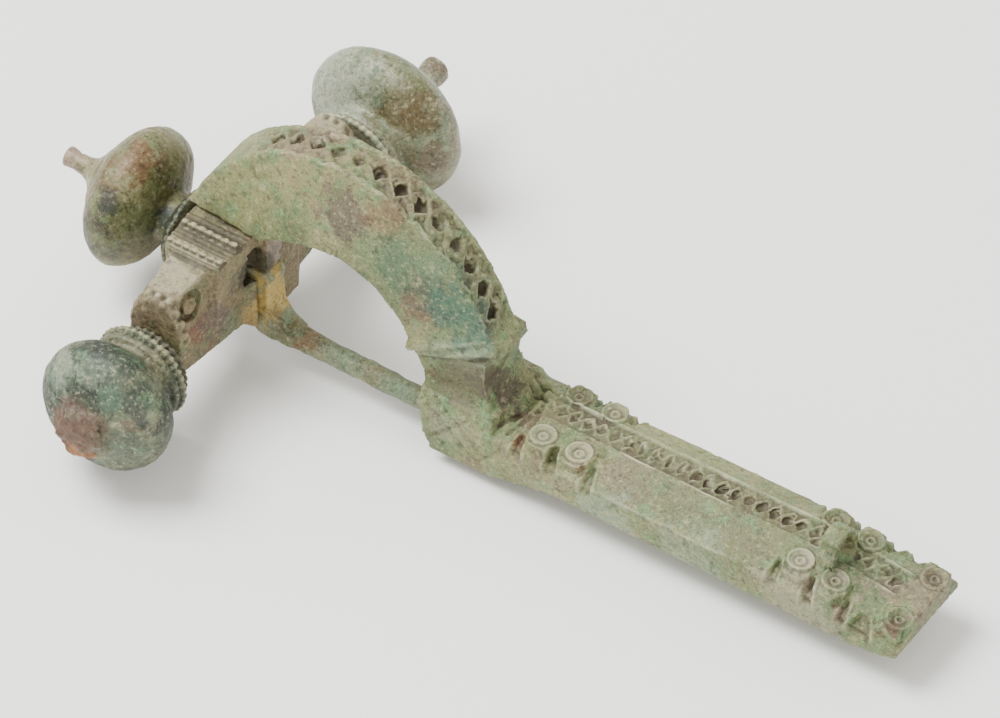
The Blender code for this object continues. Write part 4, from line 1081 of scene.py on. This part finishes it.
# %% Colour the knobs
NEAR_TONES = ((0.42, "#1D231A"), (0.50, "#363E2F"), (0.57, "#5A6048"), (0.68, "#868467"))
NEAR_CRUSTS = ("#55412F", "#59785A")
NEAR_STAINS = (
    ((0.7, -21.2, 6.2), 3.6, "#2C3B34", 0.5), ((-0.4, -22.7, 5.6), 2.2, "#7F8F76", 0.35),
    ((-0.4, -26.3, 0.5), 4.3, "#5E4434", 0.95, 1.0), ((0.6, -26.0, -2.5), 2.4, "#8E5A2A", 0.95, 1.8),
    ((4.9, -23.6, 2.6), 1.7, "#5C3E2C", 0.6), ((2.7, -24.4, 4.6), 2.2, "#4C6B54", 0.6),
    ((0.0, -16.0, 3.0), 4.0, "#77755A", 0.7), ((5.0, -20.0, 1.0), 3.2, "#222C26", 0.85),
    ((-3.6, -23.4, 4.4), 2.8, "#8C9C84", 0.6),
    ((-0.6, -20.4, 6.4), 2.4, "#2B332C", 0.75), ((4.4, -22.0, 3.4), 2.4, "#36423A", 0.75),
    ((3.4, -23.8, -0.8), 3.2, "#56614C", 0.65),
)
FAR_TONES = ((0.34, "#56553A"), (0.46, "#757457"), (0.56, "#929377"), (0.66, "#7D8766"))
FAR_CRUSTS = ("#6E5540", "#6E8467")
FAR_STAINS = (
    ((-4.0, 18.8, 4.4), 6.0, "#9BA48E", 0.7), ((3.1, 19.4, 5.4), 3.4, "#5A4E30", 0.65),
    ((5.4, 19.9, 4.2), 2.8, "#62502F", 0.55), ((6.4, 20.2, 0.3), 3.2, "#6C5C46", 0.7),
    ((2.0, 22.5, 6.6), 2.8, "#5F6B42", 0.6), ((0.0, 28.6, 0.0), 2.4, "#61503F", 0.6),
    ((1.0, 18.0, 6.8), 2.2, "#4B664F", 0.6),
)
HEAD_TONES = ((0.36, "#34351F"), (0.46, "#55542F"), (0.55, "#706C47"), (0.64, "#8A8763"))
HEAD_CRUSTS = ("#694D35", "#69754C")
HEAD_STAINS = (
    ((-8.7, -3.8, 3.5), 3.0, "#667049", 0.6), ((-10.3, -1.4, 7.6), 2.4, "#6C4F2E", 0.75),
    ((-12.0, -2.8, 5.8), 2.4, "#6A5231", 0.7), ((-11.2, -5.5, 5.3), 1.7, "#2F3431", 0.75),
    ((-18.6, 0.0, 2.3), 3.2, "#96806E", 0.9), ((-14.4, -3.0, -1.0), 3.4, "#737F68", 0.7),
    ((-5.9, -2.6, 3.6), 3.2, "#2F3930", 0.9), ((-13.6, -4.6, 3.2), 1.6, "#7E4A34", 0.7),
)
near_patina = patina(
    "dark tenorite and atacamite", NEAR_TONES, NEAR_CRUSTS, "#A8A986", NEAR_STAINS,
    roughness=0.52, wear_and_highlight_colour="#A39E78",
)
far_patina = patina("pale chloride crust", FAR_TONES, FAR_CRUSTS, "#B4B596", FAR_STAINS, roughness=0.42)
head_patina = patina(
    "olive copper skin", HEAD_TONES, HEAD_CRUSTS, "#9B9C78", HEAD_STAINS, roughness=0.45, wear_and_highlight_colour="#6E7058",
)

# %% [markdown]
# The pin's root is ochre like the crossbar beside it, and its rod is grey-green with turquoise spots.

# %% Colour the pin
PIN_TONES = ((0.36, "#525A40"), (0.47, "#6F7052"), (0.56, "#828062"), (0.66, "#73826A"))
PIN_CRUSTS = ("#7A5F45", "#6D8465")
PIN_STAINS = (
    ((3.8, -1.6, -0.6), 3.6, "#B79A52", 0.95), ((4.9, -2.0, -2.8), 1.5, "#584C31", 0.7),
    ((7.4, -2.0, -3.6), 1.3, "#79563B", 0.6), ((11.5, -2.0, -3.8), 2.4, "#648469", 0.5),
    ((17.5, -2.3, -4.3), 2.6, "#708A6E", 0.5),
)
pin_patina = patina("ochre corrosion on a bronze pin", PIN_TONES, PIN_CRUSTS, "#AEAB85", PIN_STAINS)

# %% [markdown]
# ## Hand over to the frame
#
# Each dressed piece takes its material, stands in for its solid, and rides on the body that carries it: the
# pin on a body of its own, and all the rest on the brooch.

# %% Attach every piece
DRESSED = (
    (casting, foot_patina, "bow_and_foot", "brooch", "green_bronze"),
    (crossbar, bar_patina, "crossbar", "brooch", "grey_bronze"),
    (head_knob, head_patina, "head_knob", "brooch", "olive_bronze"),
    (near_knob, near_patina, "right_knob", "brooch", "dark_bronze"),
    (far_knob, far_patina, "left_knob", "brooch", "pale_bronze"),
    (pin, pin_patina, "pin", "pin", "pin_bronze"),
)
for piece, finish, solid, body, slot in DRESSED:
    piece.data.materials.clear()
    piece.data.materials.append(finish)
    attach(piece, body)
    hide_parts(solid)
    triangles = sum(len(face.vertices) - 2 for face in piece.data.polygons)
    print(piece.name, "stands for", solid, "with", triangles, "triangles")
